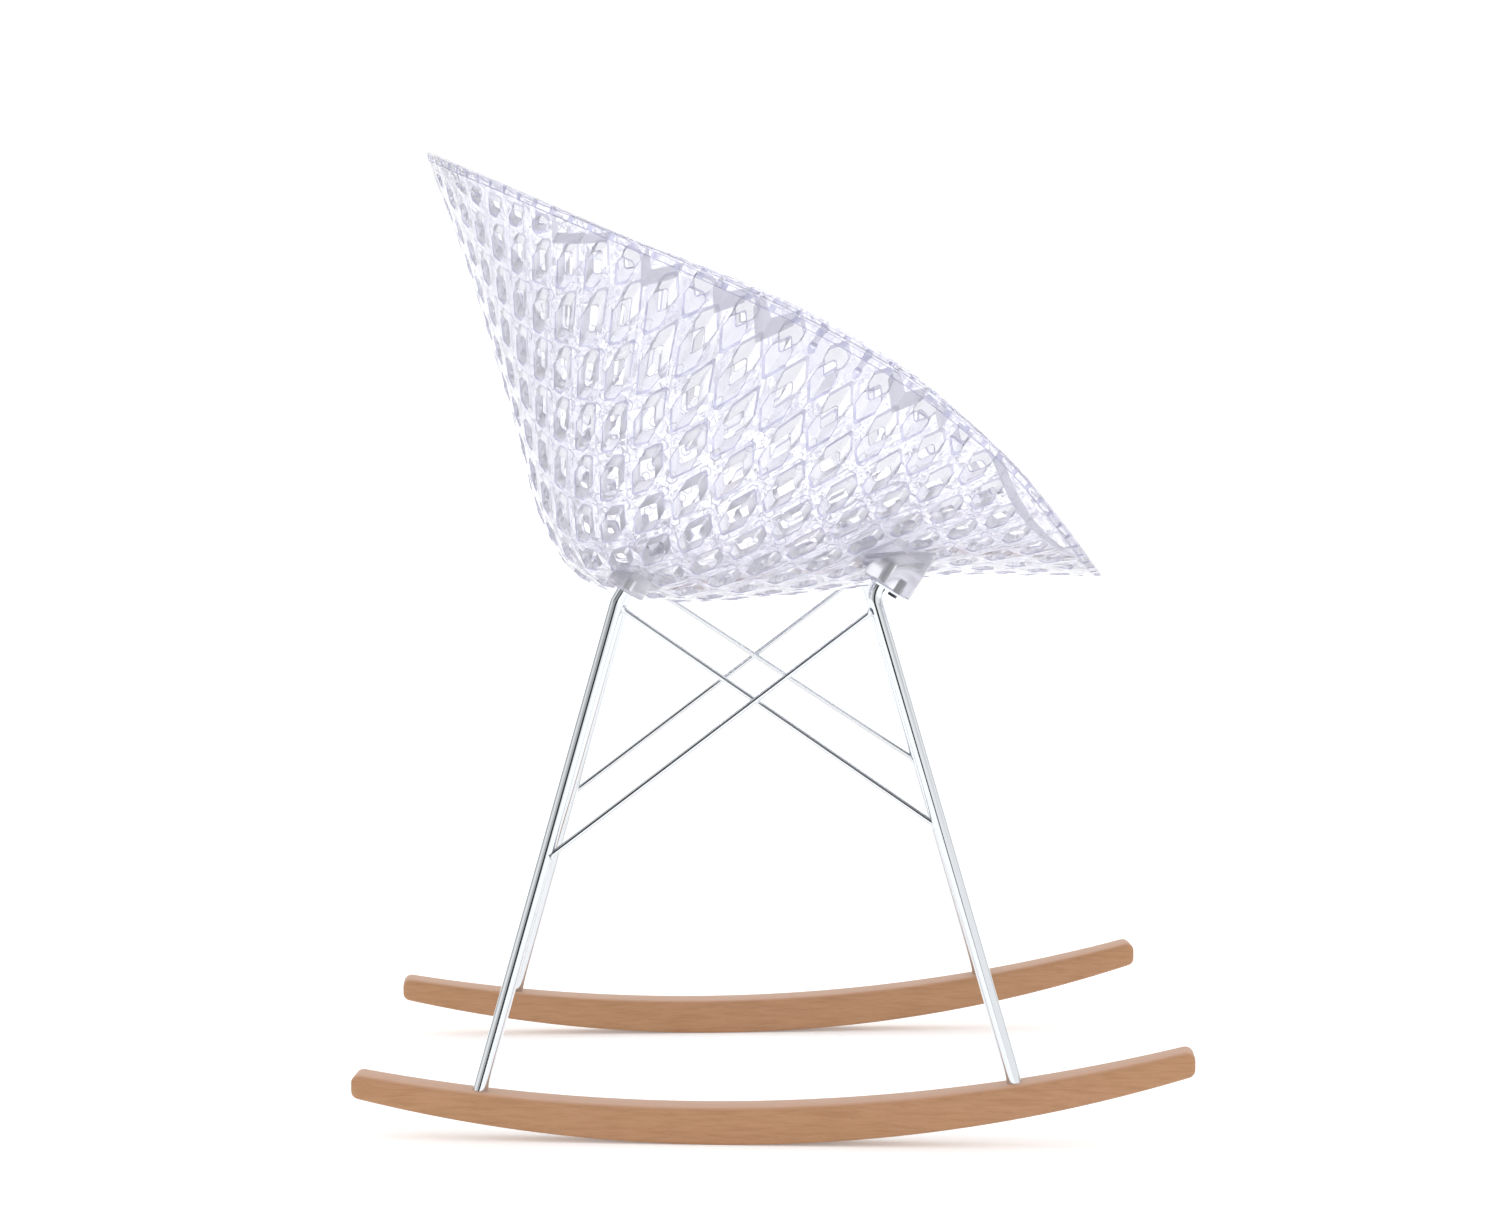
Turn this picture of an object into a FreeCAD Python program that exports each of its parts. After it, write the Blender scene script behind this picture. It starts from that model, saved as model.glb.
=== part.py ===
"""Rocking chair: a clear moulded bucket seat on four chromed tube legs and two bow rockers.

Row frame, in millimetres: +X is the way the sitter faces, +Y is the sitter's left and +Z is up.
The origin lies on the floor, under the middle of the chair's overall length and width.

The bucket is moulded between two halves of a tool that part along one straight line, the draw.
The draw leans forward, square to the line that joins the top of the back and the front lip, so
the shell is drawn in a frame of its own: station is measured from the top of the back towards
the front lip, depth is measured down the draw, and across is the row's Y.
"""

import FreeCAD, Part

import bisect
import math
import os

Vector = FreeCAD.Vector
Rotation = FreeCAD.Rotation
Placement = FreeCAD.Placement

SIDES = {"right": -1, "left": 1}
ENDS = ("rear", "front")

# Lines of lattice crossings from the rim's side to the middle of the bucket
LATTICE_LINES = 10
BOSS_FACETS = 12
# How far a cutting tool stands out of what it cuts
CUT_CLEAR = 1.0
# Room beyond a leg's top end in its socket
SOCKET_ROOM = 0.5

doc = FreeCAD.newDocument("rocking_chair")
sheet = doc.addObject("Spreadsheet::Sheet", "sizes")

# Driving dimensions: word, value in millimetres or degrees, what it is
DIMENSIONS = (
    ("back_tip_x", -296.8, "top of the back, from the origin"),
    ("back_tip_z", 816.0, "top of the back above the floor"),
    ("draw_lean", 31.9, "lean of the draw from upright, towards the front"),
    ("shell_length", 687.0, "top of the back to the front lip, in a straight line"),
    ("shell_depth", 238.0, "deepest point of the bucket under that line"),
    ("shell_half_width", 308.0, "middle of the chair to the widest point of the rim"),
    ("shell_wall", 7.0, "thickness of the moulding"),
    ("rim_wall", 2.2, "thickness of the moulding at its rim"),
    ("wall_taper", 80.0, "distance below the rim at which the wall is at its full thickness"),
    ("arm_rise", 55.0, "height of the arms over the line from back to lip"),
    ("rim_band", 10.0, "plain band under the rim, down the outer face"),
    ("cell_length", 68.0, "lattice cell, corner to corner along the shell"),
    ("lattice_middle", 370.0, "station at which the lattice is widest"),
    ("lattice_length", 1100.0, "length of the barrel's bow that the lattice is wound on"),
    ("lattice_half_width", 312.0, "half width of that barrel"),
    ("rib_width", 15.0, "rib between two openings"),
    ("smallest_window", 200.0, "least opening, in square millimetres"),
    ("pad_diameter", 88.0, "plain pad round a leg's socket"),
    ("tube_diameter", 12.0, "leg tube, outside"),
    ("tube_bore", 9.0, "leg tube, inside"),
    ("bend_radius", 18.0, "centre line of the bend at the top of a leg"),
    ("fit_gap", 0.1, "radial clearance of a tube or plug in its hole"),
    ("rear_socket_station", 342.4, "rear socket along the shell"),
    ("rear_socket_across", 166.7, "rear socket from the middle"),
    ("rear_socket_mouth", 217.0, "depth of the rear socket's mouth"),
    ("rear_socket_length", 12.0, "rear leg's length in its socket"),
    ("front_socket_station", 517.8, "front socket along the shell"),
    ("front_socket_across", 188.8, "front socket from the middle"),
    ("front_socket_mouth", 99.0, "depth of the front socket's mouth"),
    ("front_socket_length", 20.0, "front leg's length in its socket"),
    ("corner_drop", 12.0, "a leg's bend under its socket's mouth"),
    ("boss_diameter", 34.0, "moulded boss round a socket"),
    ("front_boss_reach", 10.0, "extra length of the front boss towards the lip"),
    ("rear_foot_x", -239.8, "rear leg where it enters the rocker"),
    ("front_foot_x", 199.3, "front leg where it enters the rocker"),
    ("foot_depth", 11.0, "leg's length inside the rocker"),
    ("rocker_radius", 1276.0, "underside of a rocker"),
    ("rocker_low_x", -47.9, "point where the rockers meet the floor"),
    ("rocker_top_radius", 1618.7, "top of a rocker"),
    ("rocker_top_x", -64.6, "lowest point of the rocker's top, along the chair"),
    ("rocker_height", 31.0, "rocker's height at that point"),
    ("rocker_half_length", 345.7, "middle of a rocker to its end"),
    ("rocker_width", 29.0, "thickness of the board"),
    ("rocker_offset", 224.3, "middle of the chair to the middle of a rocker"),
    ("rocker_toe", 3.2, "angle by which the rockers open towards the front"),
    ("rocker_end_round", 7.0, "rounding of the ends, seen from the side"),
    ("rod_diameter", 5.0, "brace rod"),
    ("rod_stagger", 1.6, "offset of a rod's middle from the leg's middle"),
    ("rod_top_z", 438.0, "height at which a rod leaves the top of a leg"),
    ("rod_to_front_z", 257.7, "height at which a rod reaches a front leg"),
    ("rod_to_rear_z", 228.7, "height at which a rod reaches a rear leg"),
    ("plug_length", 20.0, "threaded plug in the foot of a leg"),
    ("screw_diameter", 5.0, "rocker screw's shank"),
    ("screw_head", 10.0, "rocker screw's head, across its corners"),
    ("screw_head_height", 3.5, "rocker screw's head, along the screw"),
    ("screw_length", 24.5, "rocker screw, above its head"),
    ("screw_recess", 6.0, "top of the screw's head above the underside of the rocker"),
    ("tab_thickness", 2.0, "plate under a front socket"),
    ("tab_width", 18.0, "plate's width"),
    ("tab_corner", 4.5, "cut-off corner of the plate"),
    ("tab_pitch", 13.1, "socket to plate screw"),
    ("tab_screw_diameter", 4.0, "plate screw's shank"),
    ("tab_screw_head", 8.0, "plate screw's head, across its corners"),
    ("tab_screw_head_height", 2.8, "plate screw's head, along the screw"),
    ("tab_screw_length", 14.0, "plate screw, under the head"),
)
for row, (word, value, meaning) in enumerate(DIMENSIONS, start=1):
    sheet.set(f"A{row}", word)
    sheet.set(f"B{row}", str(value))
    sheet.set(f"C{row}", meaning)
    sheet.setAlias(f"B{row}", word)
doc.recompute()


def size(word):
    """One driving dimension, read from the sheet."""
    return float(sheet.get(word))


def bind(item, **sizes):
    """Ties properties of an object to the sheet's cells, each by an expression."""
    for name, expression in sizes.items():
        item.setExpression(name, expression)
    return item


def unit(vector):
    return Vector(vector).normalize()


# The shell's own frame: its X is the station, its Y is across and its Z is the draw
shell_frame = Placement(
    Vector(size("back_tip_x"), 0, size("back_tip_z")),
    Rotation(Vector(0, 1, 0), size("draw_lean")),
)
draw = shell_frame.Rotation.multVec(Vector(0, 0, 1))


# Bucket shell
# Level curves of the outer face, square to the draw: depth, back, front and half width, each as
# a share of the shell's own. The last curve lies above the rim.
LEVELS = (
    (1.00, 0.451, 0.451, 0.000),
    (0.99, 0.420, 0.482, 0.270),
    (0.95, 0.388, 0.518, 0.432),
    (0.86, 0.343, 0.582, 0.584),
    (0.71, 0.290, 0.654, 0.708),
    (0.50, 0.210, 0.748, 0.818),
    (0.25, 0.111, 0.856, 0.906),
    (0.00, 0.000, 1.000, 0.961),
    (-0.30, -0.125, 1.130, 1.013),
)
# A level curve is an oval: 2 would be an ellipse, more is squarer
BACK_SQUARENESS = 2.05
FRONT_SQUARENESS = 2.5

# Rim seen from the side: station as a share of the length, rise as a share of the arms' rise
RIM = (
    (-0.15, -0.36), (0.0, 0.0), (0.058, 0.122), (0.189, 0.373), (0.364, 0.709), (0.499, 0.925),
    (0.582, 0.991), (0.655, 0.995), (0.728, 0.902), (0.80, 0.756), (0.873, 0.475),
    (0.931, 0.225), (0.968, 0.075), (1.0, 0.0), (1.15, -0.45),
)
RIM_POINTS = 56
HALVINGS = 36
# Step over which a slope is taken, and the distance under which two points are one
STEP = 1.0
SAME_POINT = 0.001


class Smooth:
    """Smooth curve through rows of a place and the values there."""

    def __init__(self, rows):
        self.places = [row[0] for row in rows]
        self.values = [row[1:] for row in rows]
        steps = []
        for index in range(len(rows) - 1):
            gap = self.places[index + 1] - self.places[index]
            pairs = zip(self.values[index], self.values[index + 1])
            steps.append([(after - before) / gap for before, after in pairs])
        self.slopes = [steps[0]]
        for index in range(1, len(steps)):
            left = self.places[index] - self.places[index - 1]
            right = self.places[index + 1] - self.places[index]
            self.slopes.append([
                (before * right + after * left) / (left + right)
                for before, after in zip(steps[index - 1], steps[index])
            ])
        self.slopes.append(steps[-1])

    def at(self, place):
        index = bisect.bisect_right(self.places, place) - 1
        index = min(max(index, 0), len(self.places) - 2)
        gap = self.places[index + 1] - self.places[index]
        share = (place - self.places[index]) / gap
        rest = 1 - share
        weights = (
            (1 + 2 * share) * rest * rest,
            (1 + 2 * rest) * share * share,
            share * rest * rest * gap,
            -rest * share * share * gap,
        )
        ends = zip(self.values[index], self.values[index + 1],
                   self.slopes[index], self.slopes[index + 1])
        return [sum(w * end for w, end in zip(weights, four)) for four in ends]


# The curves open out like the root of their height over the bottom, so that root is their place
LEVEL_CURVES = Smooth([(math.sqrt(1 - row[0]),) + row[1:] for row in LEVELS])
RIM_CURVE = Smooth(RIM)


def level(place):
    """Middle, half length, half width of the level curve at a place, in millimetres."""
    back, front, half_width = LEVEL_CURVES.at(place)
    length = size("shell_length")
    middle = (back + front) / 2 * length
    return middle, (front - back) / 2 * length, half_width * size("shell_half_width")


def station_term(station, middle, half_length):
    """What a station adds in the oval's formula, and the oval's power on that half."""
    power = BACK_SQUARENESS if station < middle else FRONT_SQUARENESS
    return abs((station - middle) / half_length) ** power, power


def depth(station, across):
    """Depth of the bucket's outer face under the line from back to lip."""
    low = 0.0
    high = LEVEL_CURVES.places[-1]
    for _ in range(HALVINGS):
        place = (low + high) / 2
        middle, half_length, half_width = level(place)
        term, power = station_term(station, middle, half_length)
        if term + abs(across / half_width) ** power < 1:
            high = place
        else:
            low = place
    return (1 - place * place) * size("shell_depth")


def steepness(station, across):
    """Change of the depth along the shell and across it."""
    along = depth(station + STEP, across) - depth(station - STEP, across)
    sideways = depth(station, across + STEP) - depth(station, across - STEP)
    return along / (2 * STEP), sideways / (2 * STEP)


def rim_rise(station):
    """Height of the rim over the line from back to lip."""
    return RIM_CURVE.at(station / size("shell_length"))[0] * size("arm_rise")


def reach(station, across):
    """Thickness of the wall along the draw. It is thin at the rim and full further down."""
    below_rim = depth(station, across) + rim_rise(station)
    share = min(max(below_rim / size("wall_taper"), 0.0), 1.0)
    wall = size("rim_wall") + (size("shell_wall") - size("rim_wall")) * share * (2 - share)
    return wall * math.hypot(1.0, *steepness(station, across))


def rim_outline():
    """The rim's points as the draw sees them, and the points of the band's lower edge."""
    length = size("shell_length")
    edge, band = [], []
    for index in range(RIM_POINTS):
        turn = 2 * math.pi * index / RIM_POINTS
        station = length * (1 - math.cos(turn)) / 2
        place = math.sqrt(1 + rim_rise(station) / size("shell_depth"))
        middle, half_length, half_width = level(place)
        term, power = station_term(station, middle, half_length)
        across = math.copysign(half_width * max(1 - term, 0.0) ** (1 / power), -math.sin(turn))
        edge.append((station, across))
        inward = math.copysign(STEP, middle - station)
        probe = (station + inward, across - math.copysign(STEP, across))
        along, sideways = steepness(*probe)
        slope = math.hypot(along, sideways)
        step = size("rim_band") / math.hypot(1.0, slope) / slope
        band.append((station + along * step, across + sideways * step))
    return edge, band


def clip(polygon, start, stop, shift=0.0):
    """The part of a polygon left of a line, or of the line moved left by a shift."""
    run = (stop[0] - start[0], stop[1] - start[1])
    scale = math.hypot(*run)

    def side(point):
        cross = run[0] * (point[1] - start[1]) - run[1] * (point[0] - start[0])
        return cross / scale - shift

    kept = []
    for before, after in zip(polygon[-1:] + polygon[:-1], polygon):
        first, second = side(before), side(after)
        if (first < 0) != (second < 0):
            share = first / (first - second)
            kept.append(tuple(a + (b - a) * share for a, b in zip(before, after)))
        if second >= 0:
            kept.append(after)
    return kept


def merge_points(polygon):
    """A polygon without points that nearly repeat the one before."""
    kept = []
    for before, after in zip(polygon[-1:] + polygon[:-1], polygon):
        if math.dist(before, after) > SAME_POINT:
            kept.append(after)
    return kept


def lattice_node(row, line):
    """A crossing of the lattice: two families of ribs wound slantwise on a half barrel."""
    station = row * size("cell_length") / 2
    hollow = (station - size("lattice_middle")) / size("lattice_length") * 2
    turn = math.pi / 2 * line / LATTICE_LINES
    return station, -size("lattice_half_width") * math.sqrt(1 - hollow ** 2) * math.cos(turn)


def lattice_cells(border):
    """Cells of the lattice as the draw sees them, clipped by the band's lower edge."""
    cells = []
    rows = math.ceil(2 * size("shell_length") / size("cell_length"))
    for row in range(rows + 1):
        for line in range(2 * LATTICE_LINES + 1):
            if (row + line) % 2 == 0:
                continue
            corners = ((row - 1, line), (row, line - 1), (row + 1, line), (row, line + 1))
            cell = [lattice_node(at, min(max(over, 0), 2 * LATTICE_LINES)) for at, over in corners]
            for start, stop in zip(border, border[1:] + border[:1]):
                cell = cell and clip(cell, start, stop)
            cell = merge_points(cell)
            if len(cell) > 2:
                cells.append(cell)
    return cells


def outer_point(point):
    return Vector(point[0], point[1], -depth(*point))


def window(cell):
    """Opening of a cell, one rib's half width inside its border, measured on the outer face."""
    corners = [outer_point(point) for point in cell]
    middle = sum(corners, Vector()) / len(corners)
    normal = Vector()
    for before, after in zip(corners[-1:] + corners[:-1], corners):
        normal += (before - middle).cross(after - middle)
    if normal.Length < SAME_POINT:
        return []
    normal.normalize()
    right = unit(corners[1] - corners[0])
    right = unit(right - normal * right.dot(normal))
    ahead = normal.cross(right)
    flat = [((corner - middle).dot(right), (corner - middle).dot(ahead)) for corner in corners]
    opening = flat
    for start, stop in zip(flat, flat[1:] + flat[:1]):
        opening = opening and clip(opening, start, stop, size("rib_width") / 2)
    places = [middle + right * x + ahead * y for x, y in merge_points(opening)]
    spread = sum(((a - places[0]).cross(b - places[0])).Length for a, b in zip(places, places[1:]))
    if len(places) < 3 or spread / 2 < size("smallest_window"):
        return []
    return [(place.x, place.y) for place in places]


def zip_loops(outside, inside, middle):
    """Triangles between two loops that both run round a middle, the same way."""
    def ordered(loop):
        turns = sorted((math.atan2(y - middle[1], x - middle[0]), (x, y)) for x, y in loop)
        return turns + [(turns[0][0] + 2 * math.pi, turns[0][1])]

    outer, inner = ordered(outside), ordered(inside)
    triangles = []
    a = b = 0
    while a < len(outside) or b < len(inside):
        outer_next = outer[a + 1][0] if a < len(outside) else math.inf
        inner_next = inner[b + 1][0] if b < len(inside) else math.inf
        if outer_next <= inner_next:
            triangles.append((outer[a][1], outer[a + 1][1], inner[b][1]))
            a += 1
        else:
            triangles.append((outer[a][1], inner[b + 1][1], inner[b][1]))
            b += 1
    return triangles


def middle_of(polygon):
    return tuple(sum(values) / len(polygon) for values in zip(*polygon))


def near_socket(point):
    """Whether a place lies on the plain pad round a leg's socket."""
    for end in ENDS:
        place = (size(f"{end}_socket_station"), size(f"{end}_socket_across"))
        if math.dist((point[0], abs(point[1])), place) < size("pad_diameter") / 2:
            return True
    return False


def lattice_solid():
    """The bucket with its openings, all cut straight along the draw, as one closed solid."""
    edge, band = rim_outline()
    cells = lattice_cells(band)
    skin, openings = [], []
    border = {point for cell in cells for point in cell if on_border(point, band)}
    skin += zip_loops(edge, sorted(border | set(band)), (size("shell_length") / 2, 0.0))
    for cell in cells:
        opening = [] if near_socket(middle_of(cell)) else window(cell)
        if opening:
            skin += zip_loops(cell, opening, middle_of(opening))
            openings.append(opening)
        else:
            skin += [(cell[0], b, c) for b, c in zip(cell[1:], cell[2:])]
    return solid_between(skin, openings, set(edge))


def on_border(point, border):
    for start, stop in zip(border, border[1:] + border[:1]):
        run = (stop[0] - start[0], stop[1] - start[1])
        away = run[0] * (point[1] - start[1]) - run[1] * (point[0] - start[0])
        along = run[0] * (point[0] - start[0]) + run[1] * (point[1] - start[1])
        length = math.hypot(*run)
        if abs(away) < SAME_POINT * length and -SAME_POINT < along / length < length + SAME_POINT:
            return True
    return False


def solid_between(skin, openings, edge):
    """Solid between the outer face and the inner one, with walls round each opening."""
    points, numbers, facets = [], {}, []

    def number(point, inner):
        inner = inner and point not in edge
        key = (round(point[0] / SAME_POINT), round(point[1] / SAME_POINT), inner)
        if key not in numbers:
            place = outer_point(point)
            if inner:
                place.z += reach(*point)
            numbers[key] = len(points)
            points.append(place)
        return numbers[key]

    def add(*corners):
        facet = tuple(corners)
        if len(set(facet)) == 3:
            facets.append(facet)

    for triangle in skin:
        a, b, c = (number(point, False) for point in triangle)
        add(a, c, b)
        a, b, c = (number(point, True) for point in triangle)
        add(a, b, c)
    for opening in openings:
        for before, after in zip(opening, opening[1:] + opening[:1]):
            low, low_next = number(before, False), number(after, False)
            top, top_next = number(before, True), number(after, True)
            add(low, low_next, top_next)
            add(low, top_next, top)
    shape = Part.Shape()
    shape.makeShapeFromMesh((points, facets), SAME_POINT)
    solid = Part.Solid(shape.Shells[0] if shape.Shells else shape)
    if solid.Volume < 0:
        solid.reverse()
    return solid


def boss(end, side):
    """Post moulded under the shell round a leg's socket, ending half way through the wall."""
    station = size(f"{end}_socket_station")
    across = SIDES[side] * size(f"{end}_socket_across")
    mouth = size(f"{end}_socket_mouth")
    radius = size("boss_diameter") / 2
    forward = size("front_boss_reach") if end == "front" else 0.0
    foot = Vector(station, across, -mouth)
    post = Part.makeCylinder(radius, mouth, foot)
    if forward:
        far = Part.makeCylinder(radius, mouth, foot + Vector(forward, 0, 0))
        block = Part.makeBox(forward, 2 * radius, mouth, foot - Vector(0, radius, 0))
        post = post.fuse([far, block]).removeSplitter()
    # The lid is a fan of facets half way through the wall, wider than the post, raised to clear it
    centre = (station + forward / 2, across)
    spread = radius + forward / 2 + 2 * CUT_CLEAR
    ring = []
    for index in range(BOSS_FACETS):
        turn = 2 * math.pi * index / BOSS_FACETS
        ring.append((centre[0] + spread * math.cos(turn), centre[1] + spread * math.sin(turn)))
    inside = [outer_point(p) + Vector(0, 0, reach(*p) / 2) for p in ring + [centre]]
    hub = inside.pop()
    raised = Vector(0, 0, mouth + size("arm_rise"))
    faces = []
    for before, after in zip(inside, inside[1:] + inside[:1]):
        faces.append(Part.Face(Part.makePolygon([hub, before, after, hub])))
        faces.append(Part.Face(Part.makePolygon(
            [before, after, after + raised, before + raised, before])))
        faces.append(Part.Face(Part.makePolygon(
            [hub + raised, before + raised, after + raised, hub + raised])))
    lid = Part.makeShell(faces)
    lid.sewShape()
    lid = Part.Solid(lid.Shells[0])
    if lid.Volume < 0:
        lid.reverse()
    return max(post.cut(lid).Solids, key=lambda part: part.Volume)


def socket(end, side):
    """Blind hole for the top of a leg."""
    foot = Vector(
        size(f"{end}_socket_station"),
        SIDES[side] * size(f"{end}_socket_across"),
        -size(f"{end}_socket_mouth") - CUT_CLEAR,
    )
    radius = size("tube_diameter") / 2 + size("fit_gap")
    return Part.makeCylinder(radius, size(f"{end}_socket_length") + CUT_CLEAR + SOCKET_ROOM, foot)


def tab_screw_hole(side):
    """Pilot hole beside a front socket for the plate's screw."""
    foot = Vector(
        size("front_socket_station") + size("tab_pitch"),
        SIDES[side] * size("front_socket_across"),
        -size("front_socket_mouth") - CUT_CLEAR,
    )
    radius = size("tab_screw_diameter") / 2 + size("fit_gap")
    return Part.makeCylinder(radius, size("tab_screw_length") + CUT_CLEAR, foot)


def make_seat_shell():
    solid = lattice_solid()
    solid = solid.fuse([boss(end, side) for end in ENDS for side in SIDES])
    holes = [socket(end, side) for end in ENDS for side in SIDES]
    holes += [tab_screw_hole(side) for side in SIDES]
    solid = solid.cut(holes)
    item = doc.addObject("Part::Feature", "seat_shell")
    item.Shape = max(solid.Solids, key=lambda part: part.Volume)
    item.Placement = shell_frame
    return item


# Legs
class LegLine:
    """Centre line of a leg: up from the rocker, one bend, and along the draw into its socket."""

    def __init__(self, end, side):
        mouth = Vector(
            size(f"{end}_socket_station"),
            SIDES[side] * size(f"{end}_socket_across"),
            -size(f"{end}_socket_mouth"),
        )
        self.mouth = shell_frame.multVec(mouth)
        self.corner = self.mouth - draw * size("corner_drop")
        foot_x = size(f"{end}_foot_x")
        toe = math.tan(math.radians(size("rocker_toe")))
        foot_y = SIDES[side] * (size("rocker_offset") + foot_x * toe)
        self.foot = Vector(foot_x, foot_y, rocker_top(foot_x))
        self.up = unit(self.corner - self.foot)
        self.bend = math.degrees(self.up.getAngle(draw))

    def at_height(self, z):
        """Point of the straight run at a height above the floor."""
        return self.foot + self.up * ((z - self.foot.z) / self.up.z)

    def frame(self, along=0.0):
        """Frame at a distance up the leg, with Z up the leg and X on the side it bends to."""
        normal = self.up.cross(draw)
        return Placement(self.foot + self.up * along, Rotation(Vector(), normal, self.up, "ZYX"))


def rocker_top(x):
    """Height of a rocker's top face, at a place along the chair."""
    radius = size("rocker_top_radius")
    return size("rocker_height") + radius - math.sqrt(radius ** 2 - (x - size("rocker_top_x")) ** 2)


def origin_plane(body, role):
    """One of a body's own origin planes, such as XZ_Plane."""
    return next(plane for plane in body.Origin.OriginFeatures if plane.Role == role)


def add_sketch(body, name, role):
    sketch = body.newObject("Sketcher::SketchObject", name)
    sketch.AttachmentSupport = (origin_plane(body, role), "")
    sketch.MapMode = "FlatFace"
    return sketch


def make_leg(end, side):
    """Bent tube: straight up from the rocker, round one bend and straight into the socket."""
    name = f"leg_{end}_{side}"
    leg = LegLine(end, side)
    radius = size("bend_radius")
    setback = radius * math.tan(math.radians(leg.bend) / 2)
    start = leg.frame(-size("foot_depth"))
    rise = (leg.corner - leg.foot).Length + size("foot_depth") - setback
    # The bend's centre lies beside the top of the straight run, on the side the leg bends to
    quarter = Rotation(Vector(-1, 0, 0), Vector(0, 0, 1), Vector(0, 1, 0), "XYZ")
    angle = math.radians(leg.bend)
    bend_end = Vector(radius * (1 - math.cos(angle)), 0, rise + radius * math.sin(angle))

    def bar(part, diameter, height, placement):
        straight = bind(
            doc.addObject("Part::Cylinder", f"{name}_{part}"),
            Radius=f"sizes.{diameter} / 2",
        )
        straight.Height = height
        straight.Placement = placement
        return straight

    bend = bind(
        doc.addObject("Part::Torus", f"{name}_bend"),
        Radius1="sizes.bend_radius",
        Radius2="sizes.tube_diameter / 2",
    )
    bend.Angle3 = leg.bend
    bend.Placement = start * Placement(Vector(radius, 0, rise), quarter)
    last = size("corner_drop") + size(f"{end}_socket_length") - setback
    top = start * Placement(bend_end, Rotation(Vector(0, 1, 0), leg.bend))
    tube = doc.addObject("Part::MultiFuse", f"{name}_tube")
    tube.Shapes = [
        bar("low", "tube_diameter", rise, start),
        bend,
        bar("top", "tube_diameter", last, top),
    ]
    cut = doc.addObject("Part::Cut", name)
    cut.Base = tube
    cut.Tool = bar("bore", "tube_bore", rise, start)
    return cut


# Brace rods
def make_rod(name, start, stop, legs):
    """Straight rod between two legs, its ends hollowed to sit round the tubes."""
    rod = bind(
        doc.addObject("Part::Cylinder", f"{name}_bar"),
        Radius="sizes.rod_diameter / 2",
    )
    rod.Height = (stop - start).Length
    rod.Placement = Placement(start, Rotation(Vector(0, 0, 1), stop - start))
    for number, leg in enumerate(legs):
        tube = bind(
            doc.addObject("Part::Cylinder", f"{name}_tube{number}"),
            Radius="sizes.tube_diameter / 2",
        )
        tube.Height = (leg.corner - leg.foot).Length
        tube.Placement = leg.frame()
        cut = doc.addObject("Part::Cut", name if number else f"{name}_first")
        cut.Base = rod
        cut.Tool = tube
        rod = cut
    return rod


def make_rods(side):
    rear = LegLine("rear", side)
    front = LegLine("front", side)
    inward = Vector(0, -SIDES[side] * size("rod_stagger"), 0)
    make_rod(
        f"brace_to_front_{side}",
        rear.at_height(size("rod_top_z")) + inward,
        front.at_height(size("rod_to_front_z")) + inward,
        (rear, front),
    )
    make_rod(
        f"brace_to_rear_{side}",
        front.at_height(size("rod_top_z")) - inward,
        rear.at_height(size("rod_to_rear_z")) - inward,
        (front, rear),
    )


# Rockers
def make_rocker(side):
    """Bow of solid wood: a crescent drawn from the side, thickened, round-ended and bored."""
    name = f"rocker_{side}"
    body = doc.addObject("PartDesign::Body", f"{name}_board")
    sketch = add_sketch(body, f"{name}_side", "XZ_Plane")
    low = Vector(size("rocker_low_x"), size("rocker_radius"), 0)
    radius = size("rocker_radius")
    top_radius = size("rocker_top_radius")
    high = Vector(size("rocker_top_x"), size("rocker_height") + top_radius, 0)
    half = size("rocker_half_length")

    def under(x):
        return Vector(x, low.y - math.sqrt(radius ** 2 - (x - low.x) ** 2), 0)

    def over(x):
        return Vector(x, high.y - math.sqrt(top_radius ** 2 - (x - high.x) ** 2), 0)

    sketch.addGeometry(Part.Arc(under(-half), under(low.x), under(half)))
    sketch.addGeometry(Part.LineSegment(under(half), over(half)))
    sketch.addGeometry(Part.Arc(over(half), over(high.x), over(-half)))
    sketch.addGeometry(Part.LineSegment(over(-half), under(-half)))
    pad = body.newObject("PartDesign::Pad", f"{name}_pad")
    pad.Profile = sketch
    pad.SideType = "Symmetric"
    bind(pad, Length="sizes.rocker_width")
    doc.recompute()
    ends = []
    for number, edge in enumerate(pad.Shape.Edges, start=1):
        box = edge.BoundBox
        if box.YLength > size("rocker_width") / 2:
            ends.append(f"Edge{number}")
    round_ends = body.newObject("PartDesign::Fillet", f"{name}_ends")
    round_ends.Base = (pad, ends)
    bind(round_ends, Radius="sizes.rocker_end_round")
    body.Placement = Placement(
        Vector(0, SIDES[side] * size("rocker_offset"), 0),
        Rotation(Vector(0, 0, 1), SIDES[side] * size("rocker_toe")),
    )
    tools = []
    for end in ENDS:
        leg = LegLine(end, side)
        head_level = screw_head_level(leg)
        mouth = bind(
            doc.addObject("Part::Cylinder", f"{name}_{end}_mouth"),
            Radius="sizes.tube_diameter / 2 + sizes.fit_gap",
            Height="2 * sizes.foot_depth",
        )
        mouth.Placement = leg.frame(-size("foot_depth"))
        shank = bind(
            doc.addObject("Part::Cylinder", f"{name}_{end}_shank"),
            Radius="sizes.screw_diameter / 2 + 2 * sizes.fit_gap",
        )
        shank.Height = -head_level
        shank.Placement = leg.frame(head_level)
        well = bind(
            doc.addObject("Part::Cylinder", f"{name}_{end}_well"),
            Radius="sizes.screw_head / 2 + sizes.fit_gap",
            Height="3 * sizes.screw_recess",
        )
        well.Placement = leg.frame(head_level - 3 * size("screw_recess"))
        tools += [mouth, shank, well]
    holes = doc.addObject("Part::MultiFuse", f"{name}_holes")
    holes.Shapes = tools
    cut = doc.addObject("Part::Cut", name)
    cut.Base = body
    cut.Tool = holes
    return cut


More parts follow.
